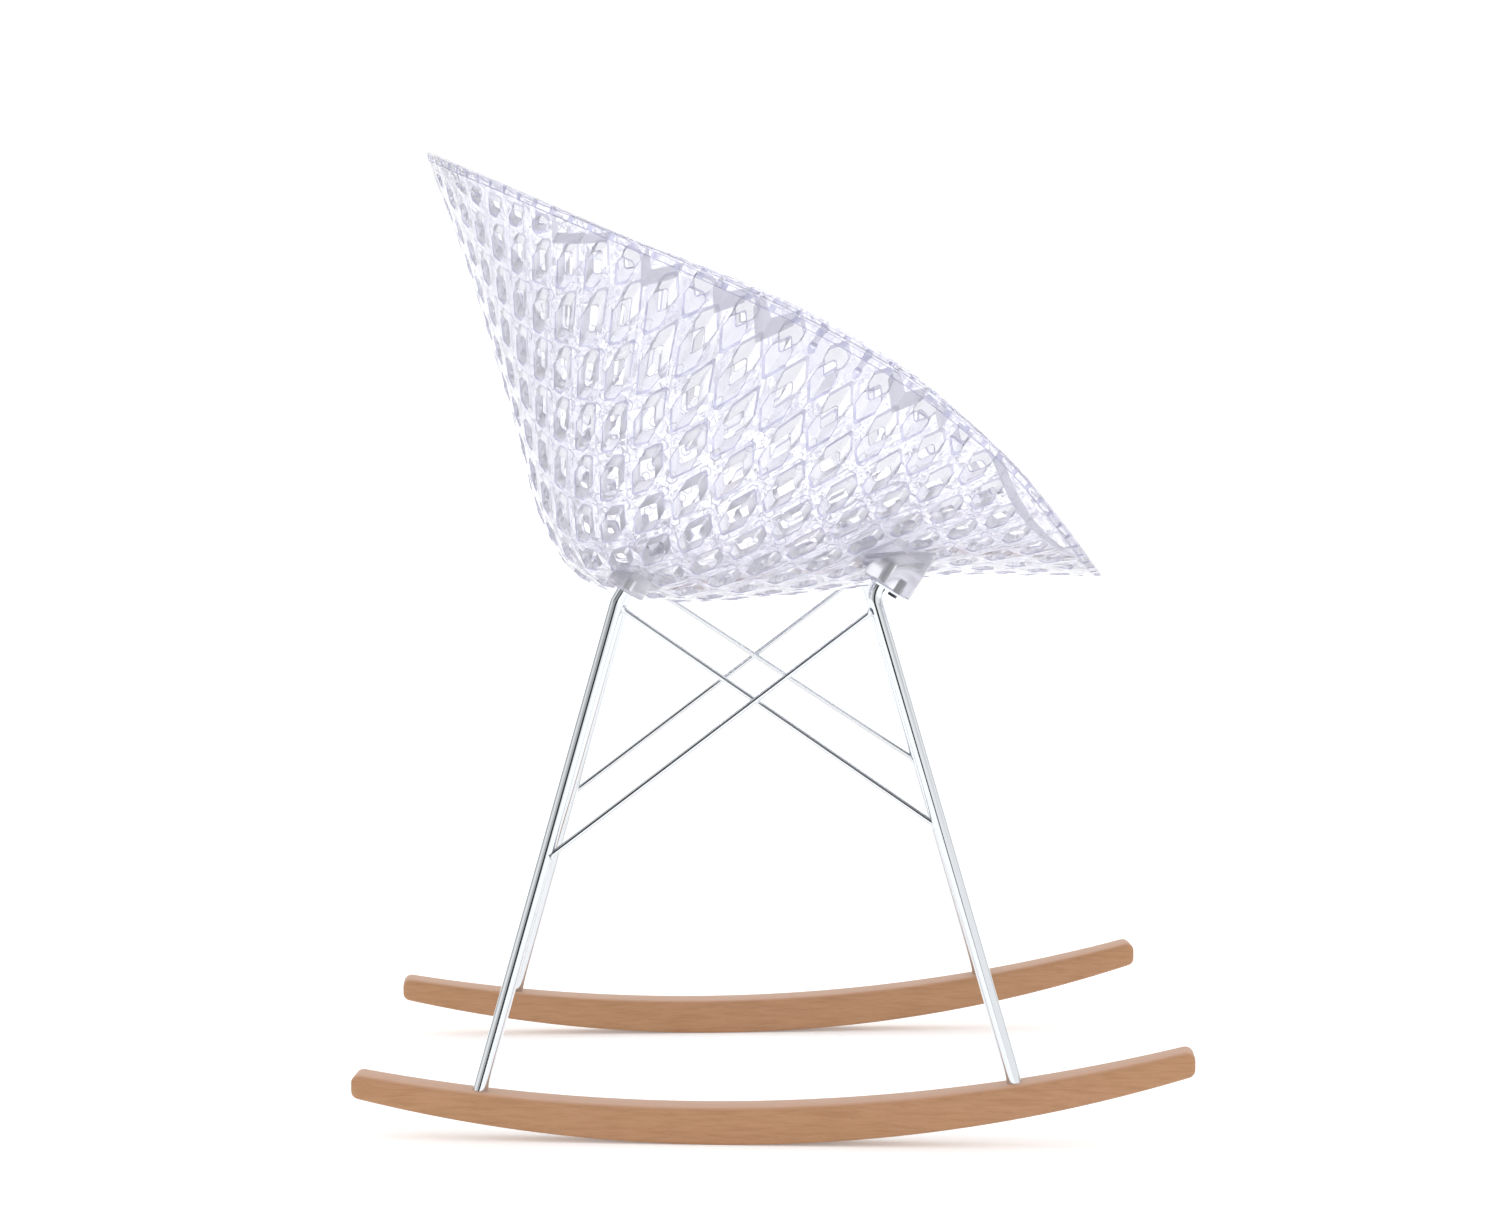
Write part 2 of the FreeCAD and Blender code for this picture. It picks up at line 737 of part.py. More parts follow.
def screw_head_level(leg):
    """Level of a rocker screw's head along its leg, measured from the rocker's top face."""
    radius = size("rocker_radius")
    x = leg.foot.x
    under = radius - math.sqrt(radius ** 2 - (x - size("rocker_low_x")) ** 2)
    return under - leg.foot.z + size("screw_recess")


# Fasteners
def make_plug(end, side):
    """Six-sided nut pressed into the foot of a leg for the rocker's screw."""
    name = f"leg_plug_{end}_{side}"
    leg = LegLine(end, side)
    core = bind(
        doc.addObject("Part::Prism", f"{name}_core"),
        Circumradius="sizes.tube_bore / 2 - sizes.fit_gap / 2",
        Height="sizes.plug_length",
    )
    core.Polygon = 6
    thread = bind(
        doc.addObject("Part::Cylinder", f"{name}_thread"),
        Radius="sizes.screw_diameter / 2 + sizes.fit_gap / 2",
        Height="sizes.plug_length",
    )
    for item in (core, thread):
        item.Placement = leg.frame(-size("foot_depth"))
    cut = doc.addObject("Part::Cut", name)
    cut.Base = core
    cut.Tool = thread
    return cut


def make_screw(name, frame, screw):
    """Screw with a six-sided head, its head down and under the frame's origin."""
    head = bind(
        doc.addObject("Part::Prism", f"{name}_head"),
        Circumradius=f"sizes.{screw}_head / 2",
        Height=f"sizes.{screw}_head_height",
    )
    head.Polygon = 6
    head.Placement = frame * Placement(Vector(0, 0, -size(f"{screw}_head_height")), Rotation())
    stem = bind(
        doc.addObject("Part::Cylinder", f"{name}_stem"),
        Radius=f"sizes.{screw}_diameter / 2",
        Height=f"sizes.{screw}_length",
    )
    stem.Placement = frame
    joined = doc.addObject("Part::Fuse", name)
    joined.Base = head
    joined.Tool = stem
    return joined


def make_rocker_screw(end, side):
    leg = LegLine(end, side)
    make_screw(f"rocker_screw_{end}_{side}", leg.frame(screw_head_level(leg)), "screw")


def tab_frame(side):
    """Frame of a front leg's plate: at the socket's mouth, under it, with Z up the draw."""
    place = Vector(
        size("front_socket_station"),
        SIDES[side] * size("front_socket_across"),
        -size("front_socket_mouth") - size("tab_thickness"),
    )
    return shell_frame * Placement(place, Rotation())


def make_tab(side):
    """Plate welded round the top of a front leg, with a hole for the screw into the boss."""
    name = f"socket_tab_{side}"
    body = doc.addObject("PartDesign::Body", name)
    sketch = add_sketch(body, f"{name}_outline", "XY_Plane")
    half = size("tab_width") / 2
    corner = size("tab_corner")
    pitch = size("tab_pitch")
    ahead = pitch + half
    outline = [
        (corner - half, -half), (ahead - corner, -half), (ahead, corner - half),
        (ahead, half - corner), (ahead - corner, half), (corner - half, half),
        (-half, half - corner), (-half, corner - half),
    ]
    for start, stop in zip(outline, outline[1:] + outline[:1]):
        sketch.addGeometry(Part.LineSegment(Vector(*start), Vector(*stop)))
    axis = Vector(0, 0, 1)
    sketch.addGeometry(Part.Circle(
        Vector(), axis, size("tube_diameter") / 2 + size("fit_gap")))
    sketch.addGeometry(Part.Circle(
        Vector(pitch, 0, 0), axis, size("tab_screw_diameter") / 2 + size("fit_gap")))
    pad = body.newObject("PartDesign::Pad", f"{name}_pad")
    pad.Profile = sketch
    bind(pad, Length="sizes.tab_thickness")
    body.Placement = tab_frame(side)
    return body


def make_tab_screw(side):
    frame = tab_frame(side) * Placement(Vector(size("tab_pitch"), 0, 0), Rotation())
    make_screw(f"tab_screw_{side}", frame, "tab_screw")


# The whole chair
NODES = ["seat_shell"]
make_seat_shell()
for side in SIDES:
    make_rods(side)
    make_rocker(side)
    make_tab(side)
    make_tab_screw(side)
    NODES += [f"brace_to_front_{side}", f"brace_to_rear_{side}", f"rocker_{side}",
              f"socket_tab_{side}", f"tab_screw_{side}"]
    for end in ENDS:
        make_leg(end, side)
        make_plug(end, side)
        make_rocker_screw(end, side)
        NODES += [f"leg_{end}_{side}", f"leg_plug_{end}_{side}", f"rocker_screw_{end}_{side}"]
doc.recompute()

# Checks and files
failed = [item.Name for item in doc.Objects if {"Invalid", "Error"} & set(item.State)]
if failed:
    raise RuntimeError(f"these objects failed: {failed}")
os.makedirs("parts", exist_ok=True)
for name in NODES:
    shape = doc.getObject(name).Shape
    if shape.isNull() or not shape.isValid() or not shape.Solids:
        raise RuntimeError(f"{name} has no valid solid")
    doc.getObject(name).Label = name
    shape.exportStep(f"parts/{name}.step")
    print(f"{name}: {len(shape.Solids)} solid, {shape.Volume / 1000:.2f} cm3, box {shape.BoundBox}")
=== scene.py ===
"""Dresses a rocking chair: a clear moulded shell with a lattice wall, chromed legs, wooden rockers.

The frame is in metres: +X is the way the sitter faces, +Y is the sitter's left and +Z is up, with
the floor at zero. The shell is worked out in a frame of its own, as its mould is: station runs from
the top of the back to the front lip, depth runs down the draw of the mould and across is +Y.
"""

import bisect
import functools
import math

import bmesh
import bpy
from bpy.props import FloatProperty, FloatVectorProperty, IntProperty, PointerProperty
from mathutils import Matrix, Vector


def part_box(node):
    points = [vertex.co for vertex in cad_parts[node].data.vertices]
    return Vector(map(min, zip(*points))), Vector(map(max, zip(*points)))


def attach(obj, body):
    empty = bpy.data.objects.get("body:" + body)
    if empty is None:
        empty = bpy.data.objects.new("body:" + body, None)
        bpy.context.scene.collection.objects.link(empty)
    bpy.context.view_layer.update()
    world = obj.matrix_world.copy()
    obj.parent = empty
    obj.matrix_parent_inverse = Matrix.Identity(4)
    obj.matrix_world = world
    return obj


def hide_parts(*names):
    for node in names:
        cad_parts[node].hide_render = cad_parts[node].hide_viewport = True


bl_info = {
    "name": "Lattice Rocking Chair",
    "version": (1, 0, 0),
    "blender": (4, 5, 0),
    "location": "View3D > Sidebar > Rocking Chair",
    "description": "Clear lattice shell, chromed legs with crossed rods and wooden rockers",
    "category": "Add Mesh",
}

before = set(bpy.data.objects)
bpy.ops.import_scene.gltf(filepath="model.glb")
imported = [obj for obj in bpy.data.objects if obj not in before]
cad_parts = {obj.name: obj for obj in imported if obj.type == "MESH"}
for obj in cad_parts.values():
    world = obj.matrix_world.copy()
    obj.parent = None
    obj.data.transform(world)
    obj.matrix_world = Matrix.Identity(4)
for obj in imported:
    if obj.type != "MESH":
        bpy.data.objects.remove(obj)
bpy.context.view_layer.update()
BODY = "root"

MM = 0.001
SIDES = {"right": -1, "left": 1}
ENDS = ("rear", "front")
LEG_TUBE = 12 * MM


# Settings
class ShellSettings(bpy.types.PropertyGroup):
    """Sizes and colour of the clear moulded shell."""

    pitch: FloatProperty(
        name="Lattice pitch", description="Lattice cell, corner to corner along the shell",
        default=40 * MM, unit="LENGTH")
    lines: IntProperty(
        name="Lattice lines", description="Crossings from the rim's side to the middle", default=17)
    rib_width: FloatProperty(
        name="Rib width", description="Rib between two windows", default=14 * MM, unit="LENGTH")
    wall: FloatProperty(
        name="Wall", description="Thickness of the moulding", default=7 * MM, unit="LENGTH")
    rim_wall: FloatProperty(
        name="Rim wall", description="Thickness at the rim", default=2.2 * MM, unit="LENGTH")
    knot_height: FloatProperty(
        name="Crossing height", description="How far the square at a rib crossing stands out",
        default=0.4 * MM, unit="LENGTH")
    knot_taper: FloatProperty(
        name="Crossing taper", description="Top of the raised square as a share of its foot",
        default=0.84, subtype="FACTOR")
    pocket_depth: FloatProperty(
        name="Rim pocket depth", description="Depth of the shallow pockets under the rim",
        default=0.6 * MM, unit="LENGTH")
    pocket_share: FloatProperty(
        name="Rim pocket share", description="Floor of a rim pocket as a share of its field",
        default=0.74, subtype="FACTOR")
    chamfer: FloatProperty(
        name="Window chamfer", description="Chamfer round a window on both faces of the wall",
        default=0.8 * MM, unit="LENGTH")
    corner_cut: FloatProperty(
        name="Window corner", description="How much of a window's side its sharp corners take",
        default=2.0 * MM, unit="LENGTH")
    end_cut: FloatProperty(
        name="Window end", description="How much of a window's side its blunt ends take",
        default=7 * MM, unit="LENGTH")
    edge: FloatProperty(
        name="Post edge", description="Rounding of the edges of the posts under the shell",
        default=0.8 * MM, unit="LENGTH")
    clarity: FloatProperty(
        name="Clarity", description="Share of the light that passes through the plastic",
        default=0.95, subtype="FACTOR")
    drawn_clarity: FloatProperty(
        name="Window side clarity", description="Share of the light that passes a window's side",
        default=0.74, subtype="FACTOR")
    post_clarity: FloatProperty(
        name="Post clarity", description="Share of the light that passes the solid posts",
        default=0.80, subtype="FACTOR")
    # Painted shade: the rounded edges get a less clear plastic with the greyer tint below, which
    # paints in the thin dark lines that the edges show
    painted_outline_clarity: FloatProperty(
        name="Edge clarity", description="Share of the light that passes a rounded edge",
        default=0.62, subtype="FACTOR")
    painted_outline_tint: FloatVectorProperty(
        name="Edge tint", description="Colour of the plastic at its rounded edges, in sRGB",
        default=(0.75, 0.75, 0.85), subtype="COLOR_GAMMA", size=3)
    tint: FloatVectorProperty(
        name="Tint", description="Colour of the clear plastic, in sRGB",
        default=(0.962, 0.961, 0.988), subtype="COLOR_GAMMA", size=3)


class LegSettings(bpy.types.PropertyGroup):
    """Sizes and colour of the chromed tubes and rods."""

    tube: FloatProperty(
        name="Leg tube", description="Outside diameter of a leg", default=LEG_TUBE, unit="LENGTH")
    bore: FloatProperty(
        name="Leg bore", description="Inside diameter of a leg", default=9 * MM, unit="LENGTH")
    rod: FloatProperty(
        name="Rod", description="Diameter of a brace rod", default=5 * MM, unit="LENGTH")
    weld: FloatProperty(
        name="Weld", description="Length of the weld at a rod's end", default=4 * MM, unit="LENGTH")
    chrome: FloatVectorProperty(
        name="Chrome", description="Colour of the plated tubes, in sRGB",
        default=(0.87, 0.885, 0.90), subtype="COLOR_GAMMA", size=3)


class RockerSettings(bpy.types.PropertyGroup):
    """Sizes and colours of the wooden rockers."""

    edge: FloatProperty(
        name="Edge rounding", description="Rounding of a rocker's long edges",
        default=3.2 * MM, unit="LENGTH")
    end_round: FloatProperty(
        name="End rounding", description="Rounding of a rocker's ends, seen from the side",
        default=7 * MM, unit="LENGTH")
    heartwood: FloatVectorProperty(
        name="Wood", description="Main colour of the wood, in sRGB",
        default=(0.665, 0.498, 0.338), subtype="COLOR_GAMMA", size=3)
    blush: FloatVectorProperty(
        name="Pink tone", description="Pinker tone of the steamed wood, in sRGB",
        default=(0.682, 0.508, 0.378), subtype="COLOR_GAMMA", size=3)
    grain: FloatVectorProperty(
        name="Grain", description="Colour of the grain lines, in sRGB",
        default=(0.578, 0.400, 0.252), subtype="COLOR_GAMMA", size=3)
    grain_width: FloatProperty(
        name="Grain spacing", description="Distance from one growth line to the next",
        default=3.0 * MM, unit="LENGTH")


class StudioSettings(bpy.types.PropertyGroup):
    """Floor, light and camera."""

    floor: FloatVectorProperty(
        name="Floor", description="Colour of the floor, in sRGB",
        default=(0.965, 0.965, 0.965), subtype="COLOR_GAMMA", size=3)
    floor_glow: FloatProperty(
        name="Floor glow", description="Light of the lit floor itself", default=0.2)
    sky: FloatProperty(
        name="Sky light", description="Strength of the white studio", default=1.06)
    top_flag: FloatProperty(
        name="Top flag", description="Strength of the dark flag above the camera", default=0.22)
    card_through: FloatProperty(
        name="Dark card through plastic",
        description="Strength of the dark card where it shows through the shell", default=0.6)
    softening: FloatProperty(
        name="Flag softening", description="How much lighter the flags show inside the plastic",
        default=0.75, subtype="FACTOR")
    lens: FloatProperty(
        name="Lens", description="Focal length of the camera, in millimetres", default=84.0)


# Sizes of the construction, in metres
LENGTH = 687 * MM
DEPTH = 238 * MM
HALF_WIDTH = 308 * MM
DRAW_LEAN = math.radians(31.9)
WALL_TAPER = 80 * MM
ARM_RISE = 55 * MM
RIM_BAND = 10 * MM
LATTICE_START = 6 * MM
LATTICE_MIDDLE = 370 * MM
LATTICE_BOW = 1100 * MM
LATTICE_HALF_WIDTH = 312 * MM
KNOT_REACH = 5.2 * MM
KNOT_CORNER = 5.0 * MM
SMALLEST_WINDOW = 26 * MM * MM
CORNER_SHARE = 0.46
MARK_SHARE = 0.45
PAD_RADIUS = 24 * MM
SOCKETS = {"rear": (342.4 * MM, 166.7 * MM, 217.0 * MM, 12.0 * MM),
           "front": (517.8 * MM, 188.8 * MM, 99.0 * MM, 20.0 * MM)}
CORNER_DROP = 12 * MM
BEND_RADIUS = 18 * MM
BOSS_RADIUS = 17 * MM
POST_ROOT = 1.2 * MM
FRONT_BOSS_REACH = 10 * MM
STUD_RADIUS = 3.0 * MM
STUD_ROOT = 4.0 * MM
TUBE_SEAT = 1.5 * MM
FIT_GAP = 0.1 * MM
FOOT_X = {"rear": -239.8 * MM, "front": 199.3 * MM}
FOOT_DEPTH = 11 * MM
ROCKER_RADIUS = 1276.0 * MM
ROCKER_LOW_X = -47.9 * MM
ROCKER_TOP_RADIUS = 1618.7 * MM
ROCKER_TOP_X = -64.6 * MM
ROCKER_HEIGHT = 31 * MM
ROCKER_HALF_LENGTH = 345.7 * MM
ROCKER_WIDTH = 29 * MM
ROCKER_OFFSET = 224.3 * MM
ROCKER_TOE = math.radians(3.2)
SCREW_RECESS = 6 * MM
SCREW_HEAD = 10 * MM
ROD_STAGGER = 1.6 * MM
ROD_TOP_Z = 438.0 * MM
ROD_TO_FRONT_Z = 257.7 * MM
ROD_TO_REAR_Z = 228.7 * MM

# Level curves of the outer face: depth, back, front and half width as shares of the shell's own
LEVELS = (
    (1.00, 0.451, 0.451, 0.000),
    (0.99, 0.420, 0.482, 0.270),
    (0.95, 0.388, 0.518, 0.432),
    (0.86, 0.343, 0.582, 0.584),
    (0.71, 0.290, 0.654, 0.708),
    (0.50, 0.210, 0.748, 0.818),
    (0.25, 0.111, 0.856, 0.906),
    (0.00, 0.000, 1.000, 0.961),
    (-0.30, -0.125, 1.130, 1.013),
)
BACK_SQUARENESS = 2.05
FRONT_SQUARENESS = 2.5
# Rim seen from the side: station as a share of the length, rise as a share of the arms' rise
RIM = (
    (-0.15, -0.36), (0.0, 0.0), (0.058, 0.122), (0.189, 0.373), (0.364, 0.709), (0.499, 0.925),
    (0.582, 0.991), (0.655, 0.995), (0.728, 0.902), (0.80, 0.756), (0.873, 0.475),
    (0.931, 0.225), (0.968, 0.075), (1.0, 0.0), (1.15, -0.45),
)
RIM_POINTS = 104
# Loops of the band under the rim, as shares of its height
RIM_SHARES = (0.0, 0.14, 0.74, 1.0)
HALVINGS = 30
STEP = 1.0 * MM
SAME_POINT = 1e-6
MERGE_DISTANCE = 0.01 * MM
FEWEST_FACES = 1000

# The shell's own frame: its X is the station, its Y is across and its Z is the draw
shell_low, shell_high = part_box("seat_shell")
SHELL = (
    Matrix.Translation((shell_low.x, 0, shell_high.z)) @ Matrix.Rotation(DRAW_LEAN, 4, "Y")
)
DRAW = SHELL.to_3x3() @ Vector((0, 0, 1))


# Colours and nodes
def linear(colour):
    """A colour in linear light, from an sRGB triple or an sRGB hex value."""
    if isinstance(colour, int):
        colour = [(colour >> shift & 255) / 255 for shift in (16, 8, 0)]
    parts = [c / 12.92 if c <= 0.04045 else ((c + 0.055) / 1.055) ** 2.4 for c in colour]
    return (*parts, 1.0)


def add(tree, kind, settings=None, inputs=None):
    """Adds a node, sets its properties and sets or links its inputs.

    An input takes a value, an output of a node, or a node, which stands for its first output.
    """
    node = tree.nodes.new(kind)
    for name, value in (settings or {}).items():
        setattr(node, name, value)
    for name, value in (inputs or {}).items():
        if isinstance(value, bpy.types.Node):
            value = value.outputs[0]
        if isinstance(value, bpy.types.NodeSocket):
            tree.links.new(value, node.inputs[name])
        else:
            node.inputs[name].default_value = value
    return node


def new_material(name):
    """An empty material, its tree and the place on the object that its patterns follow."""
    material = bpy.data.materials.new(name)
    material.use_nodes = True
    tree = material.node_tree
    tree.nodes.clear()
    return material, tree, add(tree, "ShaderNodeTexCoord").outputs


MOULD_POLISH = (0.02, 0.07)
DRAWN_POLISH = (0.10, 0.22)


def clear_plastic(name, tint, clarity, polish=MOULD_POLISH):
    """Polycarbonate, injection moulded and water clear.

    It bends light more than glass and shows bright ribs with thin dark edges. The mould's polish
    leaves a slight waviness a few millimetres wide, and handling dulls it in soft patches. The thin
    dark lines at the rounded edges are painted shade: those faces get a lower clarity and a greyer
    tint. The sides of the windows and the posts are drawn off the steel and stay a little frosted.
    """
    material, tree, place = new_material(name)
    waves = add(tree, "ShaderNodeTexNoise", inputs={
        "Vector": place["Object"], "Scale": 1 / (9 * MM), "Detail": 2.0})
    bump = add(tree, "ShaderNodeBump", inputs={
        "Strength": 0.25, "Distance": 0.25 * MM, "Height": waves})
    patches = add(tree, "ShaderNodeTexNoise", inputs={
        "Vector": place["Object"], "Scale": 1 / (60 * MM), "Detail": 3.0})
    rough = add(tree, "ShaderNodeMapRange", inputs={
        "Value": patches, "To Min": polish[0], "To Max": polish[1]})
    shader = add(tree, "ShaderNodeBsdfPrincipled", inputs={
        "Base Color": linear(tint), "Roughness": rough, "IOR": 1.585,
        "Transmission Weight": clarity, "Normal": bump})
    add(tree, "ShaderNodeOutputMaterial", inputs={"Surface": shader})
    return material


def chrome(settings):
    """Steel with bright chrome plate over polish.

    It mirrors the studio, and the polishing leaves faint lines and a slightly duller patch here
    and there.
    """
    material, tree, place = new_material("chrome_plate")
    haze = add(tree, "ShaderNodeTexNoise", inputs={
        "Vector": place["Object"], "Scale": 1 / (35 * MM), "Detail": 4.0})
    rough = add(tree, "ShaderNodeMapRange", inputs={
        "Value": haze, "To Min": 0.03, "To Max": 0.11})
    fine = add(tree, "ShaderNodeTexNoise", inputs={
        "Vector": place["Object"], "Scale": 1 / (1.2 * MM), "Detail": 2.0})
    bump = add(tree, "ShaderNodeBump", inputs={
        "Strength": 0.05, "Distance": 0.02 * MM, "Height": fine})
    shader = add(tree, "ShaderNodeBsdfPrincipled", inputs={
        "Base Color": linear(settings.chrome), "Metallic": 1.0, "Roughness": rough,
        "Normal": bump})
    add(tree, "ShaderNodeOutputMaterial", inputs={"Surface": shader})
    return material


def plated_steel(name, dark, light):
    """Steel screws, plated or blued: duller than chrome, with a fine crystal mottle."""
    material, tree, place = new_material(name)
    mottle = add(tree, "ShaderNodeTexNoise", inputs={
        "Vector": place["Object"], "Scale": 1 / (1.5 * MM), "Detail": 3.0})
    colour = add(tree, "ShaderNodeMix", {"data_type": "RGBA"}, {
        0: mottle, 6: linear(dark), 7: linear(light)}).outputs[2]
    rough = add(tree, "ShaderNodeMapRange", inputs={
        "Value": mottle, "To Min": 0.28, "To Max": 0.42})
    shader = add(tree, "ShaderNodeBsdfPrincipled", inputs={
        "Base Color": colour, "Metallic": 1.0, "Roughness": rough})
    add(tree, "ShaderNodeOutputMaterial", inputs={"Surface": shader})
    return material


def steamed_beech(settings):
    """Beech, steamed, planed and sanded, under matt lacquer.

    Steaming gives it a pink to golden cast in broad patches. The grain runs along the rocker in
    fine lines with short darker flecks, and the lacquer leaves a low, soft shine.
    """
    material, tree, place = new_material("steamed_beech")
    # Growth lines, short flecks and broad patches, each stretched along the rocker by its own share
    noises = {}
    for name, stretch, inputs in (
            ("lines", 1 / 12, {"Scale": 1 / settings.grain_width, "Detail": 5.0,
                               "Roughness": 0.62, "Distortion": 0.4}),
            ("flecks", 0.08, {"Scale": 1 / (0.7 * MM), "Detail": 2.0}),
            ("patches", 0.35, {"Scale": 1 / (45 * MM), "Detail": 2.0})):
        along = add(tree, "ShaderNodeMapping", inputs={
            "Vector": place["Object"], "Scale": (stretch, 1.0, 1.0)})
        noises[name] = add(tree, "ShaderNodeTexNoise", inputs={"Vector": along, **inputs})
    # Painted light: the top face is painted paler and pinker than the sides, as it looks lit from
    # above
    painted_top_light = add(tree, "ShaderNodeSeparateXYZ", inputs={"Vector": place["Normal"]}).outputs["Z"]
    colour = add(tree, "ShaderNodeMix", {"data_type": "RGBA"}, {
        0: noises["patches"], 6: linear(settings.heartwood), 7: linear(settings.blush),
    }).outputs[2]
    for cause, low, high, most, tone in (
            (noises["lines"], 0.42, 0.70, 0.55, settings.grain),
            (noises["flecks"], 0.60, 0.78, 0.5, 0x8C6340),
            (painted_top_light, 0.35, 0.95, 0.6, 0xC49C84)):
        share = add(tree, "ShaderNodeMapRange", inputs={
            "Value": cause, "From Min": low, "From Max": high, "To Min": 0.0, "To Max": most})
        colour = add(tree, "ShaderNodeMix", {"data_type": "RGBA"}, {
            0: share, 6: colour, 7: linear(tone)}).outputs[2]
    bump = add(tree, "ShaderNodeBump", inputs={
        "Strength": 0.22, "Distance": 0.15 * MM, "Height": noises["lines"]})
    rough = add(tree, "ShaderNodeMapRange", inputs={
        "Value": noises["lines"], "To Min": 0.42, "To Max": 0.58})
    shader = add(tree, "ShaderNodeBsdfPrincipled", inputs={
        "Base Color": colour, "Roughness": rough, "IOR": 1.5, "Coat Weight": 0.12,
        "Coat Roughness": 0.35, "Normal": bump})
    add(tree, "ShaderNodeOutputMaterial", inputs={"Surface": shader})
    return material


# Pieces
def new_piece(name, mesh, material, slot, *nodes):
    """A finished piece on the chair's only body, standing for the nodes of the construction."""
    piece = bpy.data.objects.new(name, mesh)
    bpy.context.scene.collection.objects.link(piece)
    if not mesh.materials:
        mesh.materials.append(material)
    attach(piece, BODY)
    if nodes:
        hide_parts(*nodes)
    return piece


def plain_mesh(name, mesh, modify):
    """The mesh with the modifiers that modify adds to an object made of it, applied."""
    holder = bpy.data.objects.new(name, mesh)
    bpy.context.scene.collection.objects.link(holder)
    modify(holder)
    graph = bpy.context.evaluated_depsgraph_get()
    result = bpy.data.meshes.new_from_object(holder.evaluated_get(graph), depsgraph=graph)
    result.name = name
    holder.modifiers.clear()
    bpy.data.objects.remove(holder)
    bpy.data.meshes.remove(mesh)
    return result


def finish_node(node, material):
    """Gives a carried-over node its material."""
    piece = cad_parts[node]
    piece.data.materials.clear()
    piece.data.materials.append(material)


# Shape of the shell
class Smooth:
    """Smooth curve through rows of a place and the values there."""

    def __init__(self, rows):
        self.places = [row[0] for row in rows]
        self.values = [row[1:] for row in rows]
        steps = []
        for index in range(len(rows) - 1):
            gap = self.places[index + 1] - self.places[index]
            pairs = zip(self.values[index], self.values[index + 1])
            steps.append([(after - before) / gap for before, after in pairs])
        self.slopes = [steps[0]]
        for index in range(1, len(steps)):
            left = self.places[index] - self.places[index - 1]
            right = self.places[index + 1] - self.places[index]
            self.slopes.append([
                (before * right + after * left) / (left + right)
                for before, after in zip(steps[index - 1], steps[index])
            ])
        self.slopes.append(steps[-1])

    def at(self, place):
        index = bisect.bisect_right(self.places, place) - 1
        index = min(max(index, 0), len(self.places) - 2)
        gap = self.places[index + 1] - self.places[index]
        share = (place - self.places[index]) / gap
        rest = 1 - share
        weights = (
            (1 + 2 * share) * rest * rest,
            (1 + 2 * rest) * share * share,
            share * rest * rest * gap,
            -rest * share * share * gap,
        )
        ends = zip(self.values[index], self.values[index + 1],
                   self.slopes[index], self.slopes[index + 1])
        return [sum(w * end for w, end in zip(weights, four)) for four in ends]


LEVEL_CURVES = Smooth([(math.sqrt(1 - row[0]),) + row[1:] for row in LEVELS])
RIM_CURVE = Smooth(RIM)


def level(place):
    """Middle, half length and half width of the level curve at a place."""
    back, front, half_width = LEVEL_CURVES.at(place)
    return (back + front) / 2 * LENGTH, (front - back) / 2 * LENGTH, half_width * HALF_WIDTH


def station_term(station, middle, half_length):
    """What a station adds in the oval's formula, and the oval's power on that half."""
    power = BACK_SQUARENESS if station < middle else FRONT_SQUARENESS
    return abs((station - middle) / half_length) ** power, power


@functools.cache
def depth(station, across):
    """Depth of the outer face under the line from back to lip."""
    low = 0.0
    high = LEVEL_CURVES.places[-1]
    for _ in range(HALVINGS):
        place = (low + high) / 2
        middle, half_length, half_width = level(place)
        term, power = station_term(station, middle, half_length)
        if term + abs(across / half_width) ** power < 1:
            high = place
        else:
            low = place
    return (1 - place * place) * DEPTH


def steepness(station, across):
    """Change of the depth along the shell and across it."""
    along = depth(station + STEP, across) - depth(station - STEP, across)
    sideways = depth(station, across + STEP) - depth(station, across - STEP)
    return along / (2 * STEP), sideways / (2 * STEP)


def rim_rise(station):
    """Height of the rim over the line from back to lip."""
    return RIM_CURVE.at(station / LENGTH)[0] * ARM_RISE


def fullness(station, across):
    """How far the wall has grown from its thickness at the rim, 0, to the full one, 1."""
    share = min(max((depth(station, across) + rim_rise(station)) / WALL_TAPER, 0.0), 1.0)
    return share * (2 - share)


def wall_run(slopes, share=1.0):
    """Way through a wall one unit thick: square to it at the rim's edge, along the draw below."""
    stretch = math.hypot(1.0, *slopes)
    square = Vector((*slopes, 1.0)) / stretch
    return square.lerp(Vector((0.0, 0.0, stretch)), share)


def outer_point(point):
    return Vector((point[0], point[1], -depth(*point)))


def rim_loops(shares):
    """Loops round the rim as the draw sees them, each a share of the band's height under it.

    The second result gives the way through the wall at their points.
    """
    loops = [[] for _ in shares]
    runs = {}
    for index in range(RIM_POINTS):
        turn = 2 * math.pi * index / RIM_POINTS
        station = LENGTH * (1 - math.cos(turn)) / 2
        place = math.sqrt(1 + rim_rise(station) / DEPTH)
        middle, half_length, half_width = level(place)
        term, power = station_term(station, middle, half_length)
        across = math.copysign(half_width * max(1 - term, 0.0) ** (1 / power), -math.sin(turn))
        inward = math.copysign(STEP, middle - station)
        along, sideways = steepness(station + inward, across - math.copysign(STEP, across))
        slope = math.hypot(along, sideways)
        step = RIM_BAND / math.hypot(1.0, slope) / slope
        for share, loop in zip(shares, loops):
            point = (station + along * step * share, across + sideways * step * share)
            loop.append(point)
            runs[point] = wall_run((along, sideways), share)
    return loops, runs


def between(start, stop, share):
    """The place a share of the way from one place to another."""
    return tuple(a + (b - a) * share for a, b in zip(start, stop))


def sides_of(polygon):
    """Pairs of neighbouring points, once round."""
    return zip(polygon, polygon[1:] + polygon[:1])


